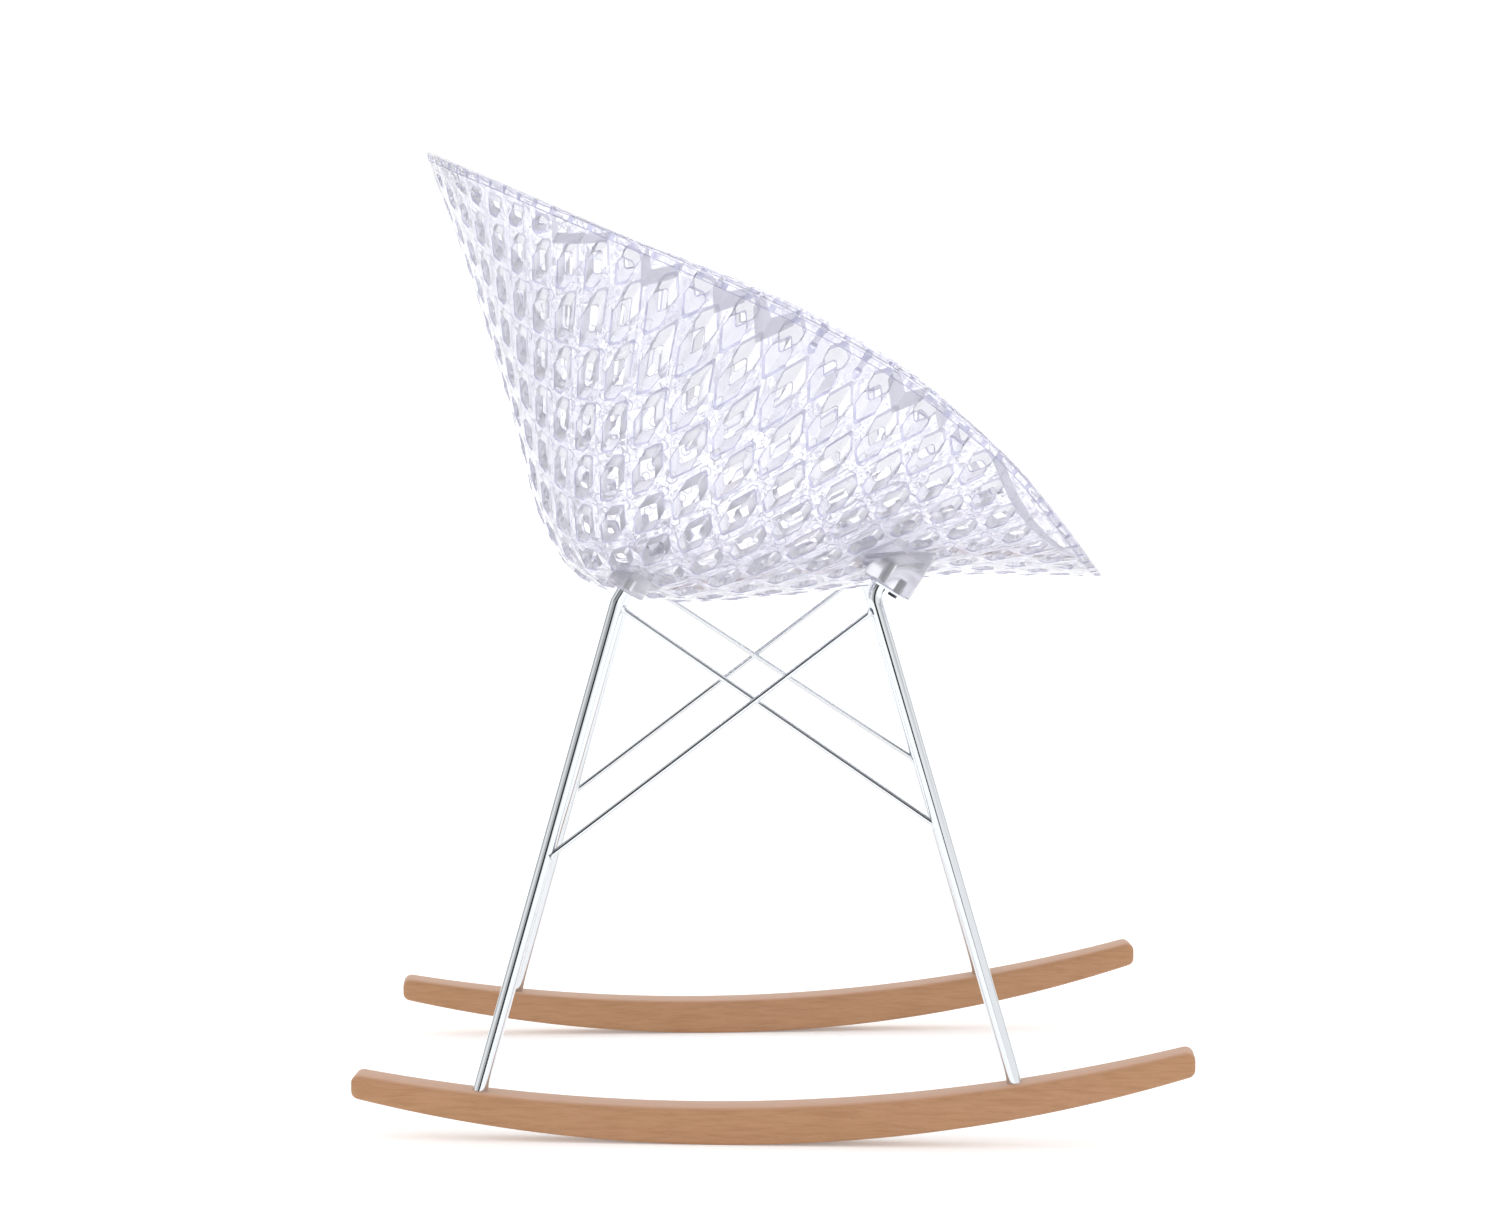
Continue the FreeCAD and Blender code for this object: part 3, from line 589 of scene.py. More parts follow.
def clip(polygon, start, stop, shift=0.0):
    """The part of a polygon left of a line, or of the line moved left by a shift."""
    run = (stop[0] - start[0], stop[1] - start[1])
    scale = math.hypot(*run)

    def side(point):
        cross = run[0] * (point[1] - start[1]) - run[1] * (point[0] - start[0])
        return cross / scale - shift

    kept = []
    for before, after in zip(polygon[-1:] + polygon[:-1], polygon):
        first, second = side(before), side(after)
        if (first < 0) != (second < 0):
            kept.append(between(before, after, first / (first - second)))
        if second >= 0:
            kept.append(after)
    return kept


def merge_points(polygon):
    """A polygon without points that nearly repeat the one before."""
    pairs = zip(polygon[-1:] + polygon[:-1], polygon)
    return [after for before, after in pairs if math.dist(before, after) > SAME_POINT]


def lattice_node(row, line, settings):
    """A crossing of the lattice: two families of ribs wound slantwise on a half barrel."""
    station = LATTICE_START + row * settings.pitch / 2
    hollow = (station - LATTICE_MIDDLE) / LATTICE_BOW * 2
    turn = math.pi / 2 * line / settings.lines
    return station, -LATTICE_HALF_WIDTH * math.sqrt(1 - hollow ** 2) * math.cos(turn)


def lattice_cells(border, settings):
    """Cells of the lattice as the draw sees them, clipped by the band's lower edge, and nodes."""
    cells, nodes = [], set()
    for row in range(-1, math.ceil(2 * LENGTH / settings.pitch) + 1):
        for line in range(2 * settings.lines + 1):
            if (row + line) % 2:
                continue
            corners = ((row - 1, line), (row, line - 1), (row + 1, line), (row, line + 1))
            last = 2 * settings.lines
            cell = [lattice_node(at, min(max(over, 0), last), settings) for at, over in corners]
            nodes.update(cell)
            for start, stop in sides_of(border):
                cell = cell and clip(cell, start, stop)
            cell = merge_points(cell)
            if len(cell) > 2:
                cells.append(cell)
    return cells, nodes


def cut_corners(polygon, cuts):
    """A polygon with each corner replaced by two points, one on each of its sides."""
    points = []
    for before, corner, after, cut in zip(
            polygon[-1:] + polygon[:-1], polygon, polygon[1:] + polygon[:1], cuts):
        for other in (before, after):
            share = min(cut / math.dist(corner, other), CORNER_SHARE)
            points.append(between(corner, other, share))
    return points


def window(cell, settings, margin):
    """Opening of a cell, a margin inside its border, measured on the outer face."""
    corners = [outer_point(point) for point in cell]
    middle = sum(corners, Vector()) / len(corners)
    normal = Vector()
    for before, after in zip(corners[-1:] + corners[:-1], corners):
        normal += (before - middle).cross(after - middle)
    if normal.length < SAME_POINT ** 2:
        return []
    normal.normalize()
    right = corners[1] - corners[0]
    right = (right - normal * right.dot(normal)).normalized()
    ahead = normal.cross(right)
    flat = [((corner - middle).dot(right), (corner - middle).dot(ahead)) for corner in corners]
    opening = flat
    for start, stop in sides_of(flat):
        opening = opening and clip(opening, start, stop, margin)
    opening = merge_points(opening)
    if len(opening) < 3 or polygon_area(opening) < SMALLEST_WINDOW:
        return []
    # The ends that point along the shell are blunt, and make the window a tall hexagon
    stations = [right.x * x + ahead.x * y for x, y in opening]
    centre = (min(stations) + max(stations)) / 2
    blunt = (max(stations) - centre) / 2
    cuts = [settings.end_cut if abs(station - centre) > blunt else settings.corner_cut
            for station in stations]
    places = [middle + right * x + ahead * y for x, y in cut_corners(opening, cuts)]
    return [(place.x, place.y) for place in places]


def polygon_area(polygon):
    return abs(sum(a[0] * b[1] - b[0] * a[1] for a, b in sides_of(polygon))) / 2


def zip_loops(outside, inside, middle):
    """Triangles between two loops that both run round a middle, the same way."""
    def ordered(loop):
        turns = sorted((math.atan2(y - middle[1], x - middle[0]), (x, y)) for x, y in loop)
        return turns + [(turns[0][0] + 2 * math.pi, turns[0][1])]

    outer, inner = ordered(outside), ordered(inside)
    triangles = []
    a = b = 0
    while a < len(outside) or b < len(inside):
        outer_next = outer[a + 1][0] if a < len(outside) else math.inf
        inner_next = inner[b + 1][0] if b < len(inside) else math.inf
        if outer_next <= inner_next:
            triangles.append((outer[a][1], outer[a + 1][1], inner[b][1]))
            a += 1
        else:
            triangles.append((outer[a][1], inner[b + 1][1], inner[b][1]))
            b += 1
    return triangles


def middle_of(polygon):
    return tuple(sum(values) / len(polygon) for values in zip(*polygon))


def near_socket(point):
    """Whether a place lies on the plain pad round a leg's socket."""
    return any(
        math.dist((point[0], abs(point[1])), place[:2]) < PAD_RADIUS for place in SOCKETS.values())


def on_border(point, border):
    for start, stop in sides_of(border):
        run = (stop[0] - start[0], stop[1] - start[1])
        away = run[0] * (point[1] - start[1]) - run[1] * (point[0] - start[0])
        along = run[0] * (point[0] - start[0]) + run[1] * (point[1] - start[1])
        length = math.hypot(*run)
        if abs(away) < SAME_POINT * length and -SAME_POINT < along / length < length + SAME_POINT:
            return True
    return False


def side_marks(start, stop, nodes):
    """Points on a cell's side where the raised squares at its two ends stop."""
    length = math.dist(start, stop)
    span = (outer_point(start) - outer_point(stop)).length
    share = KNOT_REACH / span
    marks = []
    if share < MARK_SHARE:
        for corner, other in ((start, stop), (stop, start)):
            marks.append(between(corner, other, share) if corner in nodes else corner)
    return marks if length > SAME_POINT else []


def cell_faces(cell, nodes, settings):
    """Faces of one cell with their kind, and the points of its window's border."""
    half_rib = settings.rib_width / 2
    opening = [] if near_socket(middle_of(cell)) else window(cell, settings, half_rib)
    if not opening:
        return [("rib", cell)], []
    brim = window(cell, settings, half_rib - settings.chamfer)
    sides = [side_marks(a, b, nodes) for a, b in sides_of(cell)]
    whole = len(cell) == 4 and len(opening) == len(brim) == 8 and all(sides)
    if whole and all(corner in nodes for corner in cell):
        first = min(range(4), key=lambda turn: sum(
            math.dist(cell[i], brim[2 * ((i + turn) % 4)]) for i in range(4)))
        brim = brim[2 * first:] + brim[:2 * first]
        opening = opening[2 * first:] + opening[:2 * first]
        centre = middle_of(cell)
        inner = []
        for corner in cell:
            share = KNOT_CORNER / (outer_point(corner) - outer_point(centre)).length
            inner.append(between(corner, centre, share))
        faces = []
        for index in range(4):
            after = (index + 1) % 4
            faces.append(("rib", [sides[index][0], sides[index][1], inner[after],
                                  brim[2 * after], brim[2 * index + 1], inner[index]]))
            faces.append(("knot", [sides[index - 1][1], cell[index], sides[index][0],
                                   inner[index]]))
            faces.append(("rib", [inner[index], brim[2 * index + 1], brim[2 * index]]))
        for index in range(8):
            after = (index + 1) % 8
            faces.append(("edge", [brim[index], brim[after], opening[after], opening[index]]))
        return faces, opening
    loop = []
    for corner, marks in zip(cell, sides):
        loop.append(corner)
        loop += [mark for mark in marks if mark not in cell]
    middle = middle_of(opening)
    faces = [("rib", face) for face in zip_loops(loop, brim, middle)]
    faces += [("edge", face) for face in zip_loops(brim, opening, middle)]
    return faces, opening


def shell_sheet(settings):
    """The outer face as a mesh of ribs, with the attributes that the node tree reads."""
    (edge, under_edge, above_band, band), runs = rim_loops(RIM_SHARES)
    cells, nodes = lattice_cells(band, settings)
    faces, lowered = [], set()
    for upper, lower, kind in ((edge, under_edge, "rib"), (under_edge, above_band, "pocket")):
        for index in range(RIM_POINTS):
            after = (index + 1) % RIM_POINTS
            quad = [upper[index], upper[after], lower[after], lower[index]]
            faces.append((kind, merge_points(quad)))
    border = sorted({p for cell in cells for p in cell if on_border(p, band)} | set(band))
    faces += [("rib", face) for face in zip_loops(above_band, border, (LENGTH / 2, 0.0))]
    for cell in cells:
        made, opening = cell_faces(cell, nodes, settings)
        faces += made
        lowered.update(opening)

    numbers, points, rows, kinds, quarters = {}, [], [], [], {}
    for kind, face in faces:
        row = []
        for point in face:
            key = tuple(round(value / SAME_POINT / 10) for value in point)
            if key not in numbers:
                numbers[key] = len(points)
                points.append(point)
            if numbers[key] not in row:
                row.append(numbers[key])
        if len(row) > 2:
            if kind == "knot":
                quarters.setdefault(row[1], []).append(len(rows))
            rows.append(row)
            kinds.append(kind)
    # A square is raised only where all four of its corners are there
    for group in quarters.values():
        if len(group) < 4:
            for index in group:
                kinds[index] = "rib"
    mesh = bpy.data.meshes.new("shell_sheet")
    mesh.from_pydata([SHELL @ outer_point(point) for point in points], [], rows)
    turn = SHELL.to_3x3()
    ways = [turn @ (runs.get(point) or wall_run(steepness(*point))) for point in points]
    write_attribute(mesh, "run", "FLOAT_VECTOR", "POINT", [v for way in ways for v in way])
    write_attribute(mesh, "fullness", "FLOAT", "POINT", [fullness(*p) for p in points])
    write_attribute(mesh, "lowered", "FLOAT", "POINT", [float(p in lowered) for p in points])
    for kind in ("edge", "knot", "pocket"):
        write_attribute(mesh, kind, "BOOLEAN", "FACE", [one == kind for one in kinds])
    return mesh


def write_attribute(mesh, name, kind, domain, values):
    attribute = mesh.attributes.new(name, kind, domain)
    attribute.data.foreach_set("vector" if kind == "FLOAT_VECTOR" else "value", values)


def shell_tree(material, painted_outline_material, drawn_material):
    """Node tree that gives the sheet its wall, chamfers, raised squares and rim pockets."""
    tree = bpy.data.node_groups.new("lattice_shell", "GeometryNodeTree")
    face = tree.interface
    face.new_socket("Geometry", in_out="INPUT", socket_type="NodeSocketGeometry")
    for name in ("Wall", "Rim Wall", "Chamfer", "Crossing Height", "Crossing Taper",
                 "Pocket Depth", "Pocket Share"):
        face.new_socket(name, in_out="INPUT", socket_type="NodeSocketFloat")
    face.new_socket("Geometry", in_out="OUTPUT", socket_type="NodeSocketGeometry")
    given = add(tree, "NodeGroupInput").outputs
    marks = {}
    for name, kind in (("run", "FLOAT_VECTOR"), ("lowered", "FLOAT"), ("fullness", "FLOAT"),
                       ("knot", "BOOLEAN"), ("pocket", "BOOLEAN"), ("edge", "BOOLEAN"),
                       ("drawn", "BOOLEAN")):
        marks[name] = add(tree, "GeometryNodeInputNamedAttribute", {"data_type": kind}, {
            "Name": name}).outputs["Attribute"]

    def shifted(geometry, through, **selection):
        """The geometry moved through the wall by a thickness."""
        run = add(tree, "ShaderNodeVectorMath", {"operation": "SCALE"}, {
            "Vector": marks["run"], "Scale": through})
        return add(tree, "GeometryNodeSetPosition", inputs={
            "Geometry": geometry, "Offset": run, **selection})

    def stepped(geometry, name, height, share):
        """Marked faces moved out by a height, with their tops drawn in to a share."""
        moved = add(tree, "GeometryNodeExtrudeMesh", {"mode": "FACES"}, {
            "Mesh": geometry, "Selection": marks[name],
            "Offset Scale": height, "Individual": name == "pocket"}).outputs
        # The new sides are marked for the grey edge plastic, a painted shade line round each step
        rims = add(tree, "GeometryNodeStoreNamedAttribute", {
            "data_type": "BOOLEAN", "domain": "FACE"}, {
            "Geometry": moved["Mesh"], "Selection": moved["Side"], "Name": "edge",
            "Value": True})
        return add(tree, "GeometryNodeScaleElements", {"domain": "FACE"}, {
            "Geometry": rims, "Selection": moved["Top"], "Scale": share})

    # Outer face: the borders of the windows are drawn into the wall
    chamfer = add(tree, "ShaderNodeMath", {"operation": "MULTIPLY"}, {
        0: marks["lowered"], 1: given["Chamfer"]})
    outer = shifted(given["Geometry"], chamfer)
    # Inner face: the outer one moved through the wall, with the sides of the windows
    inner = add(tree, "GeometryNodeExtrudeMesh", {"mode": "FACES"}, {
        "Mesh": outer, "Offset Scale": 0.0, "Individual": False}).outputs
    wall = add(tree, "ShaderNodeMapRange", inputs={
        "Value": marks["fullness"], "To Min": given["Rim Wall"], "To Max": given["Wall"]})
    both_chamfers = add(tree, "ShaderNodeMath", {"operation": "MULTIPLY"}, {0: chamfer, 1: 2.0})
    through = add(tree, "ShaderNodeMath", {"operation": "SUBTRACT"}, {0: wall, 1: both_chamfers})
    lining = shifted(inner["Mesh"], through, Selection=inner["Top"])
    for name, value in (("edge", False), ("drawn", True)):
        lining = add(tree, "GeometryNodeStoreNamedAttribute", {
            "data_type": "BOOLEAN", "domain": "FACE"}, {
            "Geometry": lining, "Selection": inner["Side"], "Name": name, "Value": value})
    both = add(tree, "GeometryNodeJoinGeometry")
    for part in (lining, add(tree, "GeometryNodeFlipFaces", inputs={"Mesh": outer})):
        tree.links.new(part.outputs[0], both.inputs[0])
    closed = add(tree, "GeometryNodeMergeByDistance", inputs={
        "Geometry": both, "Distance": MERGE_DISTANCE})
    # Squares at the crossings stand out, and the fields under the rim are sunk
    squares = stepped(closed, "knot", given["Crossing Height"], given["Crossing Taper"])
    sink = add(tree, "ShaderNodeMath", {"operation": "MULTIPLY"}, {
        0: given["Pocket Depth"], 1: -1.0})
    fields = stepped(squares, "pocket", sink, given["Pocket Share"])
    real = add(tree, "GeometryNodeRealizeInstances", inputs={"Geometry": fields})
    shown = add(tree, "GeometryNodeSetMaterial", inputs={"Geometry": real, "Material": material})
    # Chamfers and step sides take the grey edge plastic, painted shade for their dark outlines; the
    # window sides take the frosted one
    for name, finish in (("edge", painted_outline_material), ("drawn", drawn_material)):
        shown = add(tree, "GeometryNodeSetMaterial", inputs={
            "Geometry": shown, "Selection": marks[name], "Material": finish})
    add(tree, "NodeGroupOutput", inputs={0: shown})
    return tree


def set_inputs(modifier, values):
    """Sets a node tree's inputs by their identifiers."""
    for item in modifier.node_group.interface.items_tree:
        if item.item_type == "SOCKET" and item.in_out == "INPUT" and item.name in values:
            modifier[item.identifier] = values[item.name]


def round_edges(holder, width, segments, angle):
    """Rounds the edges of an object that are sharper than an angle in degrees."""
    bevel = holder.modifiers.new("edges", "BEVEL")
    bevel.width = width
    bevel.segments = segments
    bevel.limit_method = "ANGLE"
    bevel.angle_limit = math.radians(angle)
    bevel.use_clamp_overlap = True
    return bevel


def loft(rings, closed_ends=True):
    """Faces between loops of points that have the same count, one after the other."""
    build = bmesh.new()
    made = [[build.verts.new(point) for point in ring] for ring in rings]
    count = len(rings[0])
    for lower, upper in zip(made, made[1:]):
        for index in range(count):
            after = (index + 1) % count
            build.faces.new((lower[index], lower[after], upper[after], upper[index]))
    if closed_ends:
        build.faces.new(reversed(made[0]))
        build.faces.new(made[-1])
    return build


def to_mesh(build, name):
    """The mesh of a build, with its faces turned outward."""
    bmesh.ops.recalc_face_normals(build, faces=build.faces)
    mesh = bpy.data.meshes.new(name)
    build.to_mesh(mesh)
    build.free()
    return mesh


def circle(centre, radius, count, along=(0, 0, 1), start=(1, 0, 0)):
    """Points of a circle about an axis."""
    axis = Vector(along).normalized()
    first = Vector(start)
    first = (first - axis * first.dot(axis)).normalized()
    second = axis.cross(first)
    centre = Vector(centre)
    turns = [2 * math.pi * index / count for index in range(count)]
    return [centre + (first * math.cos(t) + second * math.sin(t)) * radius for t in turns]


BOSS_POINTS = 40
# Edges sharper than these, in degrees, are rounded or stay sharp in the shading
POST_ANGLE = 50
BOARD_ANGLE = 60
BOARD_SHADE_ANGLE = 30
METAL_SHADE_ANGLE = 40


def boss_mesh(end, side, settings):
    """Post moulded under the shell round a leg's socket, with the blind socket in its foot."""
    station, across, mouth, socket = SOCKETS[end]
    across *= SIDES[side]
    forward = FRONT_BOSS_REACH if end == "front" else 0.0
    turns = [2 * math.pi * (index + 0.5) / BOSS_POINTS for index in range(BOSS_POINTS)]
    # The front posts are drawn out towards the lip
    places = [(station + (math.cos(turn) * BOSS_RADIUS + (forward if math.cos(turn) > 0 else 0.0)),
               across + math.sin(turn) * BOSS_RADIUS) for turn in turns]
    steps = ((-mouth, settings.tube / 2 + FIT_GAP),
             (-mouth + TUBE_SEAT + FIT_GAP, settings.tube / 2 + FIT_GAP),
             (-mouth + TUBE_SEAT + FIT_GAP, STUD_RADIUS + FIT_GAP),
             (-mouth + socket, STUD_RADIUS + FIT_GAP))
    hole = [[Vector((station + math.cos(turn) * radius, across + math.sin(turn) * radius, z))
             for turn in turns] for z, radius in steps]
    top = [outer_point(place) + Vector((0, 0, POST_ROOT)) for place in places]
    foot = [Vector((x, y, -mouth)) for x, y in places]
    return loft([[SHELL @ point for point in ring] for ring in (top, foot, *hole)])


class CHAIR_OT_shell(bpy.types.Operator):
    """Builds the clear shell: lattice wall, rim and the posts round the legs' sockets"""

    bl_idname = "chair.shell"
    bl_label = "Clear shell"

    def execute(self, context):
        settings = context.scene.chair_shell
        material = clear_plastic("clear_polycarbonate", settings.tint, settings.clarity)
        # Painted shade: the rounded edges are a greyer, less clear plastic that paints in their
        # thin dark lines
        edge = clear_plastic("clear_polycarbonate_painted_outline", settings.painted_outline_tint,
                             settings.painted_outline_clarity)
        drawn = clear_plastic("clear_polycarbonate_drawn", settings.tint,
                              settings.drawn_clarity, DRAWN_POLISH)
        solid = clear_plastic("clear_polycarbonate_post", settings.tint,
                              settings.post_clarity, DRAWN_POLISH)
        finishes = (material, edge, drawn, solid)
        tree = shell_tree(material, edge, drawn)

        def modify(holder):
            lattice = holder.modifiers.new("lattice", "NODES")
            lattice.node_group = tree
            set_inputs(lattice, {
                "Wall": settings.wall,
                "Rim Wall": settings.rim_wall,
                "Chamfer": settings.chamfer,
                "Crossing Height": settings.knot_height,
                "Crossing Taper": settings.knot_taper,
                "Pocket Depth": settings.pocket_depth,
                "Pocket Share": settings.pocket_share,
            })

        def round_post(holder):
            rounding = round_edges(holder, settings.edge, 1, POST_ANGLE)
            # The rounded edges of the posts take the grey edge plastic, painted shade
            rounding.material = finishes.index(edge)

        sheet = shell_sheet(settings)
        for finish in finishes:
            sheet.materials.append(finish)
        mesh = plain_mesh("seat_shell_moulding", sheet, modify)
        if len(mesh.polygons) < FEWEST_FACES:
            raise RuntimeError("the lattice shell came out empty")
        build = bmesh.new()
        build.from_mesh(mesh)
        for end in ENDS:
            for side in SIDES:
                post = to_mesh(boss_mesh(end, side, context.scene.chair_legs), "post")
                for finish in finishes:
                    post.materials.append(finish)
                post.polygons.foreach_set(
                    "material_index", [finishes.index(solid)] * len(post.polygons))
                rounded = plain_mesh("post", post, round_post)
                build.from_mesh(rounded)
                bpy.data.meshes.remove(rounded)
        build.to_mesh(mesh)
        build.free()
        new_piece("seat_shell_moulding", mesh, material, "clear_shell", "seat_shell")
        return {"FINISHED"}


# Legs and rods
BEND_STEPS = 14
TUBE_SIDES = 48
ROD_SIDES = 28
# How far a rod's end sinks into the tube, and its weld: share of the length, share of the radius
ROD_SINK = 0.4 * MM
WELD_FLARES = ((0.0, 1.75), (0.15, 1.55), (0.4, 1.28), (0.7, 1.08), (1.0, 1.0))


class LegLine:
    """Centre line of a leg: up from the rocker, one bend, and along the draw into its socket."""

    def __init__(self, end, side):
        station, across, mouth, self.socket = SOCKETS[end]
        self.mouth = SHELL @ Vector((station, SIDES[side] * across, -mouth))
        self.corner = self.mouth - DRAW * CORNER_DROP
        foot_x = FOOT_X[end]
        foot_y = SIDES[side] * (ROCKER_OFFSET + foot_x * math.tan(ROCKER_TOE))
        self.foot = Vector((foot_x, foot_y, rocker_top(foot_x)))
        self.up = (self.corner - self.foot).normalized()

    def at_height(self, z):
        """Point of the straight run at a height above the floor."""
        return self.foot + self.up * ((z - self.foot.z) / self.up.z)

    def points(self):
        """The line's points, from its end in the rocker to its end in the socket."""
        turn = self.up.angle(DRAW)
        setback = BEND_RADIUS * math.tan(turn / 2)
        start = self.corner - self.up * setback
        inward = (DRAW - self.up * DRAW.dot(self.up)).normalized()
        centre = start + inward * BEND_RADIUS
        points = [self.foot - self.up * FOOT_DEPTH]
        for step in range(BEND_STEPS + 1):
            angle = turn * step / BEND_STEPS
            points.append(
                centre - inward * math.cos(angle) * BEND_RADIUS
                + self.up * math.sin(angle) * BEND_RADIUS)
        points.append(self.mouth + DRAW * TUBE_SEAT)
        return points


def rocker_top(x):
    """Height of a rocker's top face, at a place along the chair."""
    return ROCKER_HEIGHT + ROCKER_TOP_RADIUS - math.sqrt(
        ROCKER_TOP_RADIUS ** 2 - (x - ROCKER_TOP_X) ** 2)


def rocker_under(x):
    """Height of a rocker's underside, at a place along the chair."""
    return ROCKER_RADIUS - math.sqrt(ROCKER_RADIUS ** 2 - (x - ROCKER_LOW_X) ** 2)


def rings_along(points, radii, count):
    """Circles square to a line at its points."""
    rings = []
    side = (points[1] - points[0]).orthogonal()
    for index, point in enumerate(points):
        before = points[max(index - 1, 0)]
        after = points[min(index + 1, len(points) - 1)]
        along = (after - before).normalized()
        side = (side - along * side.dot(along)).normalized()
        rings.append(circle(point, radii[index], count, along, side))
    return rings


def tube_mesh(points, radius, bore, count, name):
    """Open-ended tube along a line, with its bore."""
    outside = rings_along(points, [radius] * len(points), count)
    inside = rings_along(points, [bore] * len(points), count)
    build = loft(outside + inside[::-1] + outside[:1], closed_ends=False)
    bmesh.ops.remove_doubles(build, verts=build.verts, dist=SAME_POINT)
    return smooth(to_mesh(build, name))


def smooth(mesh, angle=METAL_SHADE_ANGLE):
    """Shades a mesh smooth, apart from its edges that are sharper than an angle."""
    mesh.shade_smooth()
    build = bmesh.new()
    build.from_mesh(mesh)
    for edge in build.edges:
        if len(edge.link_faces) == 2:
            edge.smooth = edge.calc_face_angle(0) < math.radians(angle)
    build.to_mesh(mesh)
    build.free()
    return mesh


class CHAIR_OT_legs(bpy.types.Operator):
    """Builds the four bent legs and the four crossed rods, with their welds"""

    bl_idname = "chair.legs"
    bl_label = "Chromed legs and rods"

    def execute(self, context):
        settings = context.scene.chair_legs
        material = chrome(settings)
        for side in SIDES:
            legs = {end: LegLine(end, side) for end in ENDS}
            for end, leg in legs.items():
                mesh = tube_mesh(leg.points(), settings.tube / 2, settings.bore / 2,
                                 TUBE_SIDES, f"leg_{end}_{side}_tube")
                new_piece(f"leg_{end}_{side}_tube", mesh, material, "chromed_steel",
                          f"leg_{end}_{side}")
            inward = Vector((0, -SIDES[side] * ROD_STAGGER, 0))
            self.rod("brace_to_front", side, legs["rear"].at_height(ROD_TOP_Z) + inward,
                     legs["front"].at_height(ROD_TO_FRONT_Z) + inward, settings, material)
            self.rod("brace_to_rear", side, legs["front"].at_height(ROD_TOP_Z) - inward,
                     legs["rear"].at_height(ROD_TO_REAR_Z) - inward, settings, material)
            finish_node(f"socket_tab_{side}", material)
        return {"FINISHED"}

    @staticmethod
    def rod(name, side, start, stop, settings, material):
        """Straight rod from leg to leg, with a weld that flares where it meets each tube."""
        along = (stop - start).normalized()
        length = (stop - start).length
        radius = settings.rod / 2
        inset = settings.tube / 2 - ROD_SINK
        places = [(inset + share * settings.weld, flare) for share, flare in WELD_FLARES]
        places += [(length - place, flare) for place, flare in reversed(places)]
        points = [start + along * place for place, _ in places]
        build = loft(rings_along(points, [radius * flare for _, flare in places], ROD_SIDES))
        mesh = smooth(to_mesh(build, f"{name}_{side}_rod"))
        new_piece(f"{name}_{side}_rod", mesh, material, "chromed_steel", f"{name}_{side}")


# Rockers
ROCKER_STEPS = 64
CORNER_STEPS = 6
EDGE_SEGMENTS = 4


def rocker_profile(radius):
    """Side view of a rocker: underside, rounded front end, top face, rounded rear end."""
    corners = {(way, up): rocker_corner(way, up, radius) for way in (-1, 1) for up in (-1, 1)}
    profile = []
    for up, way in ((-1, 1), (1, -1)):
        height = rocker_under if up < 0 else rocker_top
        start, stop = corners[-way, up][0][0], corners[way, up][0][0]
        for step in range(1, ROCKER_STEPS):
            x = start + (stop - start) * step / ROCKER_STEPS
            profile.append((x, height(x)))
        profile += corners[way, up] + corners[way, -up][::-1]
    return profile


def rocker_corner(way, up, radius):
    """Rounded corner of a rocker, from its long face to its end. Up is 1 for the top face."""
    height = rocker_under if up < 0 else rocker_top
    x = way * (ROCKER_HALF_LENGTH - radius)
    slope = math.atan((height(x + STEP) - height(x - STEP)) / (2 * STEP))
    touch = x - up * radius * math.sin(slope)
    z = height(touch) - up * radius * math.cos(slope)
    first = slope + up * math.pi / 2
    last = 0.0 if way > 0 else math.copysign(math.pi, up)
    points = []
    for step in range(CORNER_STEPS + 1):
        turn = first + (last - first) * step / CORNER_STEPS
        points.append((x + math.cos(turn) * radius, z + math.sin(turn) * radius))
    return points


def rocker_mesh(side, settings):
    """Board of a rocker with its edges rounded and its holes bored."""
    sign = SIDES[side]
    place = (Matrix.Translation((0, sign * ROCKER_OFFSET, 0))
             @ Matrix.Rotation(sign * ROCKER_TOE, 4, "Z"))
    profile = rocker_profile(settings.end_round)
    rings = [[place @ Vector((x, y, z)) for x, z in profile]
             for y in (-ROCKER_WIDTH / 2, ROCKER_WIDTH / 2)]
    board = plain_mesh("board", to_mesh(loft(rings), "board"), lambda item: round_edges(
        item, settings.edge, EDGE_SEGMENTS, BOARD_ANGLE))
    cutter = bmesh.new()
    for end in ENDS:
        leg = LegLine(end, side)
        head = rocker_under(leg.foot.x) - leg.foot.z + SCREW_RECESS
        runs = ((-FOOT_DEPTH, FOOT_DEPTH, LEG_TUBE / 2 + FIT_GAP),
                (head - 2 * SCREW_RECESS, head, SCREW_HEAD / 2 + FIT_GAP))
        for low, high, radius in runs:
            lower = circle(leg.foot + leg.up * low, radius, TUBE_SIDES, leg.up)
            upper = circle(leg.foot + leg.up * high, radius, TUBE_SIDES, leg.up)
            part = to_mesh(loft([lower, upper]), "part")
            cutter.from_mesh(part)
            bpy.data.meshes.remove(part)
    tool = bpy.data.objects.new("holes", to_mesh(cutter, "holes"))
    bpy.context.scene.collection.objects.link(tool)

    def bore(item):
        cut = item.modifiers.new("holes", "BOOLEAN")
        cut.operation = "DIFFERENCE"
        cut.solver = "EXACT"
        cut.object = tool

    mesh = plain_mesh(f"rocker_{side}_board", board, bore)
    bpy.data.objects.remove(tool)
    return smooth(mesh, BOARD_SHADE_ANGLE)


class CHAIR_OT_rockers(bpy.types.Operator):
    """Builds the two bow rockers of wood"""

    bl_idname = "chair.rockers"
    bl_label = "Wooden rockers"

    def execute(self, context):
        settings = context.scene.chair_rockers
        material = steamed_beech(settings)
        for side in SIDES:
            new_piece(f"rocker_{side}_board", rocker_mesh(side, settings), material,
                      "rocker_wood", f"rocker_{side}")
        return {"FINISHED"}


